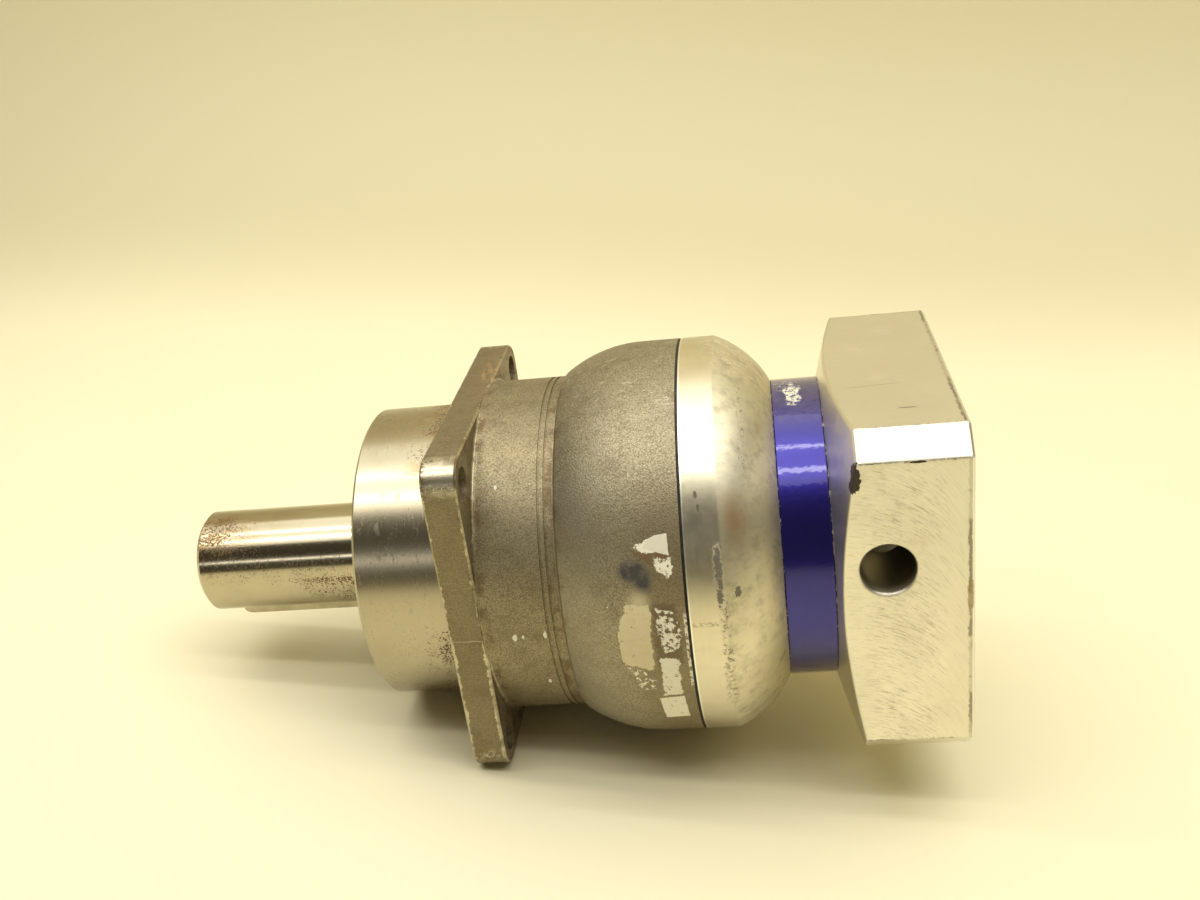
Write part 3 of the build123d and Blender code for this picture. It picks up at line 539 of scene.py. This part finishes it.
# ---- ring gear housing ----
def label_remains(m, angle, fibre):
    """Masks of the torn label: its paper, glue, ripped layer and darker bed, and the paper's faded parts."""
    torn = m.warped(4.2, 0.45, 3.0)
    neat = m.warped(0.8, 0.6, 21.0)
    shreds = m.noise(0.62, 6.0, 0.70)
    holes = m.patches(0.63, 0.66, 0.75, 4.0, 0.8)
    square = m.cut_out(neat, LABEL_SQUARE)
    film = m.cut_out(neat, LABEL_FILM)
    dots = m.times(m.window(m.x, 39.0, 51.0, 2.0), m.window(angle, -12.0, 10.0, 3.0))
    dots = m.times(dots, m.patches(0.70, 0.72, 1.0, 3.0, 0.6, m.stretch(0.8, 0.8, 0.55)))
    rim = m.times(m.window(m.x, 67.7, 69.0, 0.2), m.window(angle, -16.0, 6.0, 2.0))
    paper = m.biggest(
        film,
        m.cut_out(torn, LABEL_WING),
        m.times(m.cut_out(torn, LABEL_TONGUE), m.ramp(shreds, 0.40, 0.45)),
        m.times(m.cut_out(torn, LABEL_UPPER), m.ramp(shreds, 0.47, 0.50)),
        m.times(m.cut_out(torn, LABEL_STEM), m.ramp(shreds, 0.36, 0.40)),
        square,
        m.times(m.cut_out(torn, LABEL_CRUMBS), m.ramp(shreds, 0.535, 0.56)),
        dots,
        m.times(rim, m.ramp(shreds, 0.44, 0.50)),
    )
    veil = m.times(m.spot(on_cylinder(56.0, 11.0, BULGE_R), (5.0, 6.0, 5.0)), 0.7)
    glue = m.times(m.cut_out(torn, LABEL_GLUE), m.inverse(m.times(holes, 0.9)))
    glue = m.times(m.biggest(glue, veil), m.inverse(paper))
    ripped = m.times(m.cut_out(torn, LABEL_RIPPED), m.ramp(fibre, 0.40, 0.50))
    bed = m.cut_out(torn, LABEL_BED, 0.6)
    faded = m.times(square, m.patches(0.60, 0.63, 0.55, 4.0, 0.7), 0.55)
    return paper, glue, ripped, bed, m.biggest(faded, m.times(film, 0.25))


def blasted_ring_housing(name):
    """The bulge: the same blasted coat, greyer, with a dark smudge and the remains of a torn paper label."""
    m = Looks(name)
    angle = m.around_angle()
    grain = sand_grain(m)
    broad = m.noise(0.028, 4.0, point=m.moved(40.0, 9.0, 3.0))
    middle = m.noise(0.14, 4.0, 0.6)
    fibre = m.noise(1.6, 5.0, 0.75, m.stretch(1.0, 0.5, 0.5))
    paper, glue, ripped, bed, faded = label_remains(m, angle, fibre)

    # a brown handled band beside the bell, the grey side towards the flange, and rust along the front rim
    handled = m.times(m.ramp(m.x, 50.0, 62.0), m.window(angle, -50.0, 30.0, 16.0), 0.55)
    greyed = m.times(m.ramp(m.x, 54.0, 40.0), m.window(angle, -55.0, 40.0, 16.0), 0.40)
    rim_rust = m.ramp(m.x, BULGE_START + 2.0, BULGE_START + 0.2)
    rim_rust = m.times(rim_rust, m.patches(0.44, 0.62, 0.15, 4.0, 0.65), 0.5)

    # a soot smudge with a soft tail, and scuffs along the top
    smudge = m.spot(on_cylinder(55.0, 19.2, BULGE_R - 0.3), (6.6, 7.0, 5.2))
    tail = m.spot(on_cylinder(57.6, 16.8, BULGE_R), (4.6, 7.0, 6.4))
    dirt = m.ramp(m.biggest(smudge, m.times(tail, 0.80)), 0.02, 0.80)
    dirt = m.smallest(m.times(dirt, m.patches(0.12, 0.56, 0.30, 5.0, 0.65)), 0.90)
    scuffs = m.patches(0.58, 0.64, 1.0, 5.0, 0.75, m.stretch(0.20, 0.45, 0.45))
    scuffs = m.times(m.window(angle, 68.0, 112.0, 8.0), scuffs)

    base = blasted_coat(m, broad, middle, grain, BULGE_COAT, 0.40, BULGE_SPARK)
    base = m.mix(handled, base, BULGE_HANDLED)
    base = m.mix(greyed, base, BULGE_GREY)
    base = m.mix(rim_rust, base, RUST_FOOT)
    base = m.mix(m.times(bed, 0.60), base, LABEL_SHADE)
    base = m.mix(dirt, base, SOOT)
    base = m.mix(m.times(scuffs, 0.6), base, BULGE_SCUFF)
    base = m.mix(m.times(glue, 0.92), base, m.mix(m.noise(0.6), *GLUE))
    base = m.mix(m.times(ripped, 0.85), base, TEAR)
    base = m.mix(m.times(paper, 0.96), base, m.mix(m.ramp(fibre, 0.3, 0.7), *PAPER))
    base = m.mix(faded, base, PRINT)

    covered = m.biggest(paper, glue, m.times(ripped, 0.8))
    roughness = m.plus(0.45, m.times(grain, 0.14), m.times(m.less(middle, 0.5), 0.15))
    roughness = m.plus(m.blend(covered, roughness, 0.66), m.times(dirt, 0.15))
    metallic = m.times(0.86, m.inverse(m.biggest(covered, m.times(dirt, 0.9), m.times(bed, 0.3))))
    normal = m.bump(m.times(grain, m.inverse(m.times(m.biggest(paper, glue), 0.8))), 0.13)
    fibres = m.times(fibre, m.biggest(paper, ripped), 0.35)
    normal = m.bump(m.plus(m.times(paper, 0.8), m.times(glue, 0.25), fibres), 0.14, normal)
    return m.finish(base, roughness, metallic, normal)


# ---- input bell ----
def turned_aluminium(name):
    """Input bell: near-mirror turned cylinder, frosted shoulder, an abraded line along the ridge, and a
    painted highlight along its front rim.
    """
    m = Looks(name)
    angle = m.around_angle()
    marks = ring_marks(m, 5.0, 0.06)
    fine = m.noise(1.6, 4.0, 0.65)
    broad = m.noise(0.045, 4.0, point=m.moved(3.0, 70.0, 12.0))
    middle = m.noise(0.19, 5.0, 0.65)
    clouds = m.noise(1.0, 5.0, 0.7, m.stretch(0.10, 0.34, 0.34))
    grit = m.noise(0.9, 5.0, 0.78)
    shoulder = m.ramp(m.x, RIDGE_X - 0.6, RIDGE_X + 0.8)
    # painted highlight: a bright line along the bell's front rim
    edge = m.ramp(m.x, BELL_START + 0.55, BELL_START + 0.25)

    # the abraded line: dense above, broken below, with a pitted line and a cross line beside it
    wander = m.plus(m.x, m.sway(2.2, 0.28, 4.0))
    close = m.ramp(m.absolute(m.less(wander, RIDGE_X - 0.95)), 2.3, 0.2)
    rub_upper = m.times(close, m.window(angle, 11.0, 22.0, 7.0), 0.50)
    rub_upper = m.ramp(m.plus(m.times(grit, 1.1), rub_upper), 0.84, 1.00)
    rub_lower = m.times(m.window(wander, 77.6, 79.6, 0.9), m.window(angle, -24.0, 10.0, 3.0))
    rub_lower = m.times(rub_lower, m.ramp(grit, 0.50, 0.62))
    pit_line = m.times(m.window(wander, 85.2, 86.4, 0.3), m.window(angle, 47.0, 76.0, 3.0))
    pit_line = m.times(pit_line, m.ramp(grit, 0.54, 0.60))
    cross_line = m.times(m.window(angle, 3.3, 4.2, 0.3), m.window(m.x, 70.2, 76.5, 0.6))
    cross_line = m.times(cross_line, m.ramp(grit, 0.46, 0.54))
    damage = m.biggest(rub_upper, rub_lower)

    brown = m.times(m.spot(on_cylinder(82.8, 31.0, SHOULDER_R), (6.5, 9.0, 13.0)), 0.85)
    flecks = m.biggest(
        m.patch(on_cylinder(82.6, 11.7, SHOULDER_R + 0.2), (0.8, 2.0, 1.6), 2.2, 1.2),
        m.patch(on_cylinder(73.1, 37.6, BULGE_R), (0.5, 1.2, 1.0), 1.5, 0.9),
        m.patch(on_cylinder(73.6, 34.3, BULGE_R), (0.4, 1.2, 1.1), 1.5, 0.9),
    )
    scratches = m.patches(0.66, 0.70, 1.0, 5.0, 0.75, m.stretch(0.45, 1.8, 0.25))
    nicked = m.biggest(scratches, m.ramp(grit, 0.67, 0.71))
    ding = m.times(m.window(angle, 80.0, 101.0, 4.0), m.window(m.x, 75.5, 90.5, 1.5))
    ding = m.times(ding, m.patches(0.57, 0.62, 1.0, 5.0, 0.75, m.stretch(0.25, 0.9, 0.5)))

    base = m.mix(m.ramp(broad, 0.3, 0.7), *ALUMINIUM)
    clouded = m.times(m.ramp(clouds, 0.46, 0.72), 0.42, m.blend(shoulder, 0.35, 1.0))
    base = m.mix(clouded, base, ALUMINIUM_DARK)
    base = m.mix(m.times(m.ramp(middle, 0.48, 0.70), 0.50, shoulder), base, BELL_CLOUD)
    base = m.mix(m.times(m.ramp(marks, 0.55, 0.8), 0.25), base, ALUMINIUM_DARK)
    base = m.mix(brown, base, BELL_BROWN)
    base = m.mix(m.times(nicked, 0.55), base, BELL_SCRATCH)
    base = m.mix(m.times(m.biggest(rub_upper, flecks), 0.85), base, BELL_RUB)
    base = m.mix(m.times(m.biggest(rub_lower, pit_line, cross_line), 0.70), base, BELL_GRAZE)
    # bright dings, and a painted highlight along the front rim
    base = m.mix(m.biggest(m.times(ding, 0.8), edge), base, BELL_DING_AND_RIM_HIGHLIGHT)

    mirror = m.plus(0.27, m.times(marks, 0.12))
    frosted = m.plus(0.41, m.times(fine, 0.10))
    rubbed = m.times(m.biggest(damage, pit_line), 0.22)
    roughness = m.blend(shoulder, mirror, frosted)
    roughness = m.plus(roughness, m.times(m.less(middle, 0.5), 0.18), rubbed, m.times(brown, 0.08))
    metallic = m.inverse(m.times(m.biggest(rub_upper, flecks), 0.6))
    normal = m.bump(m.plus(m.times(marks, 0.7), m.times(nicked, -0.8)), 0.010)
    torn_up = m.times(damage, m.noise(1.8, 4.0, 0.8))
    normal = m.bump(m.plus(torn_up, m.times(fine, 0.06), m.times(ding, 0.8)), 0.10, normal)
    return m.finish(base, roughness, metallic, normal)


# ---- adapter ring ----
def blue_ring(name):
    """Blue-violet lacquer with a fine orange peel, dusty and worn white at its top, its rims chipped."""
    m = Looks(name)
    angle = m.around_angle()
    peel = m.noise(0.62, 2.0, 0.5)
    fleck = m.noise(2.6, 3.0, 0.6)
    broad = m.noise(0.05, 3.0)
    grit = m.noise(1.0, 5.0, 0.75)
    rim = m.smallest(m.less(m.x, BELL_END), m.less(RING_END, m.x))
    chips = m.ramp(m.plus(rim, m.sway(2.6, 0.55, 5.0, 0.75)), 0.05, -0.10)
    scrape = m.patch((100.9, -2.0, RING_R), (2.4, 7.5, 5.0), 3.2, 0.5)
    scrape = m.times(scrape, m.ramp(grit, 0.45, 0.50))
    crumbs = m.patch((99.0, 4.0, RING_R), (4.0, 6.0, 6.0), 1.0, 0.3)
    crumbs = m.times(crumbs, m.ramp(grit, 0.58, 0.62))
    bare = m.biggest(scrape, crumbs, m.times(chips, 0.75))
    dust = m.times(m.window(angle, 76.0, 130.0, 14.0), m.patches(0.20, 0.75, 0.35, 5.0, 0.75), 0.30)
    fine = m.patches(0.70, 0.73, 1.0, 5.0, 0.78, m.stretch(0.5, 1.7, 0.5))

    base = m.mix(m.ramp(broad, 0.3, 0.7), *BLUE)
    base = m.mix(m.times(m.ramp(fleck, 0.54, 0.72), 0.45), base, BLUE_LIGHT)
    base = m.mix(dust, base, BLUE_DUST)
    base = m.mix(m.times(fine, 0.4), base, BLUE_SCRATCH)
    base = m.mix(bare, base, WHITE_PAINT)
    roughness = m.plus(0.32, m.times(bare, 0.3), m.times(fine, 0.2), m.times(dust, 0.35))
    roughness = m.plus(roughness, m.times(m.less(peel, 0.5), 0.08))
    metallic = m.times(0.85, m.inverse(bare), m.inverse(m.times(dust, 0.8)))
    normal = m.bump(m.times(bare, -1.0), 0.06, m.bump(peel, 0.030))
    return m.finish(base, roughness, metallic, normal, Coat_Weight=1.0, Coat_Roughness=0.05, Coat_IOR=1.48)


# ---- motor adapter plate ----
def bruised_arrises(m, sides):
    """Dark ragged lines along the plate's chamfers and its rear rim: both together, then the rear one."""
    far = m.smallest(m.absolute(m.y), m.absolute(m.z))
    corner_line = m.plus(m.absolute(m.less(far, PLATE_FLAT)), m.sway(2.4, 0.7, 5.0, 0.75))
    corner_line = m.times(sides, m.ramp(corner_line, 0.34, 0.16))
    rear_line = m.plus(m.x, m.sway(2.6, 0.35, 5.0, 0.75))
    rear_line = m.times(sides, m.window(rear_line, PLATE_END - 1.6, PLATE_END - 0.8, 0.2))
    return m.times(m.biggest(corner_line, rear_line), m.patches(0.40, 0.55, 0.09, 3.0)), rear_line


def milled_aluminium(name):
    """Motor adapter plate: cutter arcs on its sides, a turned cone in front, bruised edges and old paint,
    with painted shade on its top face and inside the access hole.
    """
    m = Looks(name)
    radius = m.radius()
    fine = m.noise(1.5, 4.0, 0.7)
    broad = m.noise(0.04, 4.0, point=m.moved(11.0, 5.0, 80.0))
    on_y = m.ramp(m.absolute(m.ny), 0.80, 0.97)
    on_z = m.ramp(m.absolute(m.nz), 0.80, 0.97)
    sides = m.biggest(on_y, on_z)
    along = m.blend(on_y, m.y, m.z)

    # arcs left by a face cutter that fed along the side, and the turned cone's rings
    from_centre = m.less(m.x, CUTTER_X)
    drop = m.less(CUTTER_R * CUTTER_R, m.times(from_centre, from_centre))
    feed = m.less(along, m.math("SQRT", m.biggest(drop, 0.0)))
    arcs = m.noise(1.0, 4.0, 0.7, m.join(m.times(feed, 1.9), m.times(m.x, 0.05), 0.0))
    short = m.join(m.times(feed, 2.4), m.times(m.x, 0.26), m.times(along, 0.05))
    short = m.patches(0.50, 0.64, 1.0, 5.0, 0.78, short)
    heavy = m.times(m.window(m.x, 121.0, 132.0, 7.0), m.patches(0.34, 0.56, 0.07, 3.0), on_y)
    cutter = m.times(short, m.plus(m.times(on_y, 0.30), m.times(heavy, 0.70), 0.10), sides)
    rings = m.noise(1.0, 3.0, 0.7, m.join(m.times(radius, 2.6), m.times(m.x, 2.6), 0.0))

    # wear and damage, and painted shade on the top face
    dents = m.patches(0.70, 0.735, 0.62, 5.0, 0.78)
    stains = m.patches(0.52, 0.74, 0.11, 5.0, 0.7)
    bruise, rear_line = bruised_arrises(m, sides)
    bright_edge = m.times(m.window(m.absolute(m.nx), 0.45, 0.85, 0.04), m.ramp(m.x, 140.0, 143.0))
    chip = m.patch((114.0, -HALF_SIDE, 39.4), (2.0, 3.0, 4.2), 2.6, 0.42, 6.0)
    nick = m.patch((130.5, -HALF_SIDE, PLATE_FLAT - 0.4), (2.2, 2.0, 0.40), 1.2, 0.9)
    painted = m.biggest(chip, nick)
    rust_mark = m.patch((PLATE_END - 1.2, -HALF_SIDE, 3.0), (0.9, 2.0, 5.5), 1.5, 0.6)
    # painted shade: the plate's top face is given a darker colour
    top = m.ramp(m.z, HALF_SIDE - 0.4, HALF_SIDE)
    top_scratch = m.patch((130.4, -32.0, HALF_SIDE), (2.6, 0.35, 2.0), 0.5, 0.8)
    long_scratch = m.plus(m.y, m.times(m.x, -0.10), m.times(m.noise(0.2), 0.8))
    long_scratch = m.window(long_scratch, -27.2, -27.0, 0.14)
    long_scratch = m.times(long_scratch, m.window(m.x, 117.0, 129.0, 2.0), on_z)

    # painted shade inside the access hole, whose axis runs along Y: its wall is darkened
    off_axis = m.length(m.join(m.less(m.x, ACCESS_X), 0.0, m.less(m.z, ACCESS_Z)))
    hole_shade = m.ramp(off_axis, ACCESS_R + 0.25, ACCESS_R + 0.1)
    hole_shade = m.times(hole_shade, m.ramp(m.y, -50.1, -46.0), m.ramp(m.y, -20.0, -24.0))

    base = m.mix(m.ramp(broad, 0.3, 0.7), *MILLED)
    base = m.mix(m.times(m.ramp(arcs, 0.5, 0.8), 0.25, sides), base, ALUMINIUM_DARK)
    base = m.mix(m.times(cutter, 0.60), base, MILLED_MARK)
    # painted shade darkens the top face
    base = m.mix(m.times(top, 0.55), base, MILLED_TOP_SHADE)
    base = m.mix(m.times(stains, 0.22), base, MILLED_STAIN)
    base = m.mix(m.times(dents, 0.6), base, MILLED_DENT)
    base = m.mix(m.times(m.ramp(rings, 0.55, 0.8), m.inverse(sides), 0.22), base, ALUMINIUM_DARK)
    base = m.mix(m.times(m.biggest(bruise, m.times(rear_line, 0.3)), 0.8), base, MILLED_BRUISE)
    base = m.mix(m.times(bright_edge, 0.7), base, MILLED_EDGE)
    base = m.mix(m.times(m.biggest(top_scratch, m.times(long_scratch, 0.6)), 0.75), base, MILLED_SCRATCH)
    base = m.mix(m.times(rust_mark, 0.6), base, MILLED_RUST)
    # painted shade inside the access hole
    base = m.mix(m.times(hole_shade, 0.85), base, MILLED_HOLE_SHADE)
    base = m.mix(painted, base, OLD_PAINT)

    roughness = m.plus(m.blend(sides, 0.30, 0.40), m.times(fine, 0.10))
    roughness = m.plus(roughness, m.times(m.less(arcs, 0.5), 0.14), m.times(stains, 0.10))
    roughness = m.blend(painted, roughness, 0.5)
    metallic = m.times(0.97, m.inverse(m.biggest(painted, m.times(rust_mark, 0.6))))
    height = m.plus(m.times(arcs, 0.55, sides), m.times(cutter, -0.6))
    height = m.plus(height, m.times(rings, m.inverse(sides), 0.45), m.times(fine, 0.10))
    damage = m.plus(m.times(dents, -1.0), m.times(bruise, -0.8), m.times(chip, 0.6))
    damage = m.plus(damage, m.times(top_scratch, -0.8))
    normal = m.bump(damage, 0.12, m.bump(height, 0.020, m.rounded(1.3)))
    return m.finish(base, roughness, metallic, normal)


# ---- working parts ----
def plain_metal(name, tint, dark, rough, lines=6.0):
    """Turned or ground metal for the working parts: fine marks, light oil staining and a few pits."""
    m = Looks(name)
    marks = ring_marks(m, lines, lines * 0.06)
    cloud = m.noise(0.22, 4.0, 0.6)
    pits = m.patches(0.70, 0.74, 1.3, 4.0, 0.75)
    base = m.mix(m.ramp(cloud, 0.35, 0.7), tint, dark)
    base = m.mix(m.times(pits, 0.6), base, tuple(channel * 0.4 for channel in dark))
    roughness = m.plus(rough, m.times(marks, 0.12), m.times(m.less(cloud, 0.5), 0.15))
    height = m.plus(m.times(marks, 0.7), m.times(pits, -0.6))
    return m.finish(base, roughness, 1.0, m.bump(height, 0.006))


def black_screws(name):
    """Black oxide screws, rubbed brighter in places."""
    m = Looks(name)
    cloud = m.noise(0.9, 4.0, 0.65)
    rub = m.patches(0.58, 0.70, 2.4, 4.0, 0.7)
    base = m.mix(m.ramp(cloud, 0.3, 0.7), *BLACK_OXIDE)
    base = m.mix(m.times(rub, 0.35), base, OXIDE_RUB)
    roughness = m.plus(0.34, m.times(cloud, 0.16))
    return m.finish(base, roughness, 0.85, m.bump(cloud, 0.02))


def black_rubber(name):
    """Moulded rubber with a matt, slightly dusty face."""
    m = Looks(name)
    cloud = m.noise(0.35, 4.0, 0.6)
    fine = m.noise(3.0, 3.0, 0.6)
    base = m.mix(m.ramp(cloud, 0.45, 0.8), *RUBBER)
    roughness = m.plus(0.52, m.times(fine, 0.14), m.times(cloud, 0.08))
    return m.finish(base, roughness, 0.0, m.bump(m.plus(m.times(fine, 0.5), m.times(cloud, 0.5)), 0.03))


FINISHES = {
    "blasted_housing": blasted_housing("blasted_housing"),
    "blasted_ring_housing": blasted_ring_housing("blasted_ring_housing"),
    "turned_aluminium": turned_aluminium("turned_aluminium"),
    "milled_aluminium": milled_aluminium("milled_aluminium"),
    "blue_ring": blue_ring("blue_ring"),
    "ground_steel": ground_steel("ground_steel"),
    "key_steel": plain_metal("key_steel", (0.54, 0.49, 0.35), (0.44, 0.39, 0.27), 0.30, 4.0),
    "bearing_steel": plain_metal("bearing_steel", (0.70, 0.70, 0.70), (0.60, 0.60, 0.61), 0.12),
    "gear_steel": plain_metal("gear_steel", (0.44, 0.43, 0.42), (0.30, 0.29, 0.28), 0.26),
    "pressed_steel": plain_metal("pressed_steel", (0.52, 0.50, 0.47), (0.40, 0.38, 0.35), 0.34),
    "brass_cage": plain_metal("brass_cage", (0.75, 0.55, 0.24), (0.60, 0.42, 0.17), 0.28),
    "spring_steel": plain_metal("spring_steel", (0.16, 0.15, 0.15), (0.10, 0.095, 0.09), 0.36),
    "black_screws": black_screws("black_screws"),
    "black_rubber": black_rubber("black_rubber"),
}

slot_of = {s["node"]: s["material_slot"] for s in frame["record"]["subparts"]}
for name, node in NODES.items():
    node.data.materials.clear()
    node.data.materials.append(FINISHES[slot_of[name]])

# ---- floor, in metres: it slopes because the object leans on its flange's lower edge and its bulge ----
LEAN = math.radians(10.0)
LEAN_CENTRE = 0.025
LEAN_LENGTH = 0.30
FLOOR_AT_CENTRE = -HALF_SIDE / 1000 - math.tan(LEAN) * LEAN_CENTRE
WALL_START = 0.30
WALL_CURVE = 0.22
WALL_BLEND_MM = 140
SWEEP_REACH = 3.0
COLUMN_STEP = 0.05
CURVE_STEPS = 16


def floor_height(x):
    return FLOOR_AT_CENTRE - math.tan(LEAN) * LEAN_LENGTH * math.tanh((x - LEAN_CENTRE) / LEAN_LENGTH)


def sweep_point(x, along):
    """A point of the floor and backdrop: along runs from the front, over the floor, and up the wall."""
    base = floor_height(x)
    if along <= WALL_START:
        return (x, along, base)
    quarter = WALL_CURVE * math.pi / 2
    on_curve = along - WALL_START
    if on_curve <= quarter:
        turn = on_curve / WALL_CURVE
        return (x, WALL_START + WALL_CURVE * math.sin(turn), base + WALL_CURVE * (1 - math.cos(turn)))
    return (x, WALL_START + WALL_CURVE, base + WALL_CURVE + on_curve - quarter)


def sweep_mesh():
    column_count = round(2 * SWEEP_REACH / COLUMN_STEP) + 1
    columns = [-SWEEP_REACH + COLUMN_STEP * i for i in range(column_count)]
    quarter = WALL_CURVE * math.pi / 2
    rows = [-SWEEP_REACH, -2.0, -1.0, -0.5, 0.0, WALL_START]
    rows += [WALL_START + quarter * i / CURVE_STEPS for i in range(1, CURVE_STEPS + 1)]
    rows += [rows[-1] + 0.4, rows[-1] + 1.6]
    points = [sweep_point(x, along) for along in rows for x in columns]
    faces = []
    for row in range(len(rows) - 1):
        for column in range(column_count - 1):
            corner = row * column_count + column
            faces.append((corner, corner + 1, corner + column_count + 1, corner + column_count))
    mesh = bpy.data.meshes.new("sweep")
    mesh.from_pydata(points, [], faces)
    for polygon in mesh.polygons:
        polygon.use_smooth = True
    return mesh


def paper_backdrop():
    """Plain cream paper; up the wall it is painted darker, as painted shade."""
    m = Looks("cream_sweep")
    floor = m.mix(m.patches(0.3, 0.7, 0.006, 3.0), *CREAM_FLOOR)
    # painted shade: the colour darkens from the floor up the wall
    wall = m.ramp(m.y, 1000 * WALL_START, 1000 * WALL_START + WALL_BLEND_MM)
    return m.finish(m.mix(wall, floor, CREAM_WALL_SHADE), 0.55, 0.0)


sweep = bpy.data.objects.new("backdrop_sweep", sweep_mesh())
bpy.context.scene.collection.objects.link(sweep)
sweep.data.materials.append(paper_backdrop())


# ---- lights: a wide ceiling with two tubes under it, and a weak strip in front ----
WHITE = (1.0, 0.965, 0.88)
PALE = (1.0, 0.97, 0.92)
ROOM = (1.0, 0.86, 0.60, 1.0)
ROOM_STRENGTH = 0.07
TUBE_HEIGHT = 0.92


def softbox(name, location, target, width, height, power, tint):
    data = bpy.data.lights.new(name, "AREA")
    data.shape = "RECTANGLE"
    data.size = width
    data.size_y = height
    data.energy = power
    data.color = tint
    lamp = bpy.data.objects.new(name, data)
    lamp.location = location
    lamp.rotation_mode = "QUATERNION"
    lamp.rotation_quaternion = (Vector(target) - Vector(location)).to_track_quat("-Z", "Y")
    bpy.context.scene.collection.objects.link(lamp)


softbox("ceiling", (0.24, 0.0, 0.96), (0.24, 0.0, 0.0), 1.92, 1.22, 13.3, WHITE)
softbox("tube_above", (0.15, -0.04, TUBE_HEIGHT), (0.15, -0.04, 0.0), 1.66, 0.055, 2.6, WHITE)
softbox("tube_front", (0.15, -0.36, TUBE_HEIGHT), (0.15, 0.0, 0.0), 1.66, 0.07, 3.2, WHITE)
softbox("front_strip", (-0.45, -1.2, 0.45), (0.04, 0.0, 0.0), 0.5, 0.07, 0.40, PALE)

world = bpy.data.worlds.new("room")
bpy.context.scene.world = world
world.use_nodes = True
background = world.node_tree.nodes["Background"]
background.inputs["Color"].default_value = ROOM
background.inputs["Strength"].default_value = ROOM_STRENGTH

# ---- camera: place in metres, tilts in radians, lens and sensor in millimetres ----
CAMERA_PLACE = Vector((0.09406, -0.34061, 0.18575))
CAMERA_TILT = (0.4293, 0.1372, -0.0715)
LENS = 37.299
SENSOR = 36.0


def camera_matrix():
    """The camera looks along +Y before its three tilts about its own right, down and forward axes."""
    tilt_x, tilt_y, tilt_z = CAMERA_TILT
    start = Matrix(((1, 0, 0), (0, 0, -1), (0, 1, 0)))
    turn = Matrix.Rotation(tilt_z, 3, "Z") @ Matrix.Rotation(tilt_y, 3, "Y") @ Matrix.Rotation(tilt_x, 3, "X")
    right, down, forward = turn @ start
    return Matrix((right, -down, -forward)).transposed()


camera_data = bpy.data.cameras.new("camera")
camera_data.sensor_width = SENSOR
camera_data.lens = LENS
camera = bpy.data.objects.new("camera", camera_data)
camera.matrix_world = Matrix.Translation(CAMERA_PLACE) @ camera_matrix().to_4x4()
bpy.context.scene.collection.objects.link(camera)
bpy.context.scene.camera = camera
bpy.context.scene.view_settings.view_transform = "Standard"
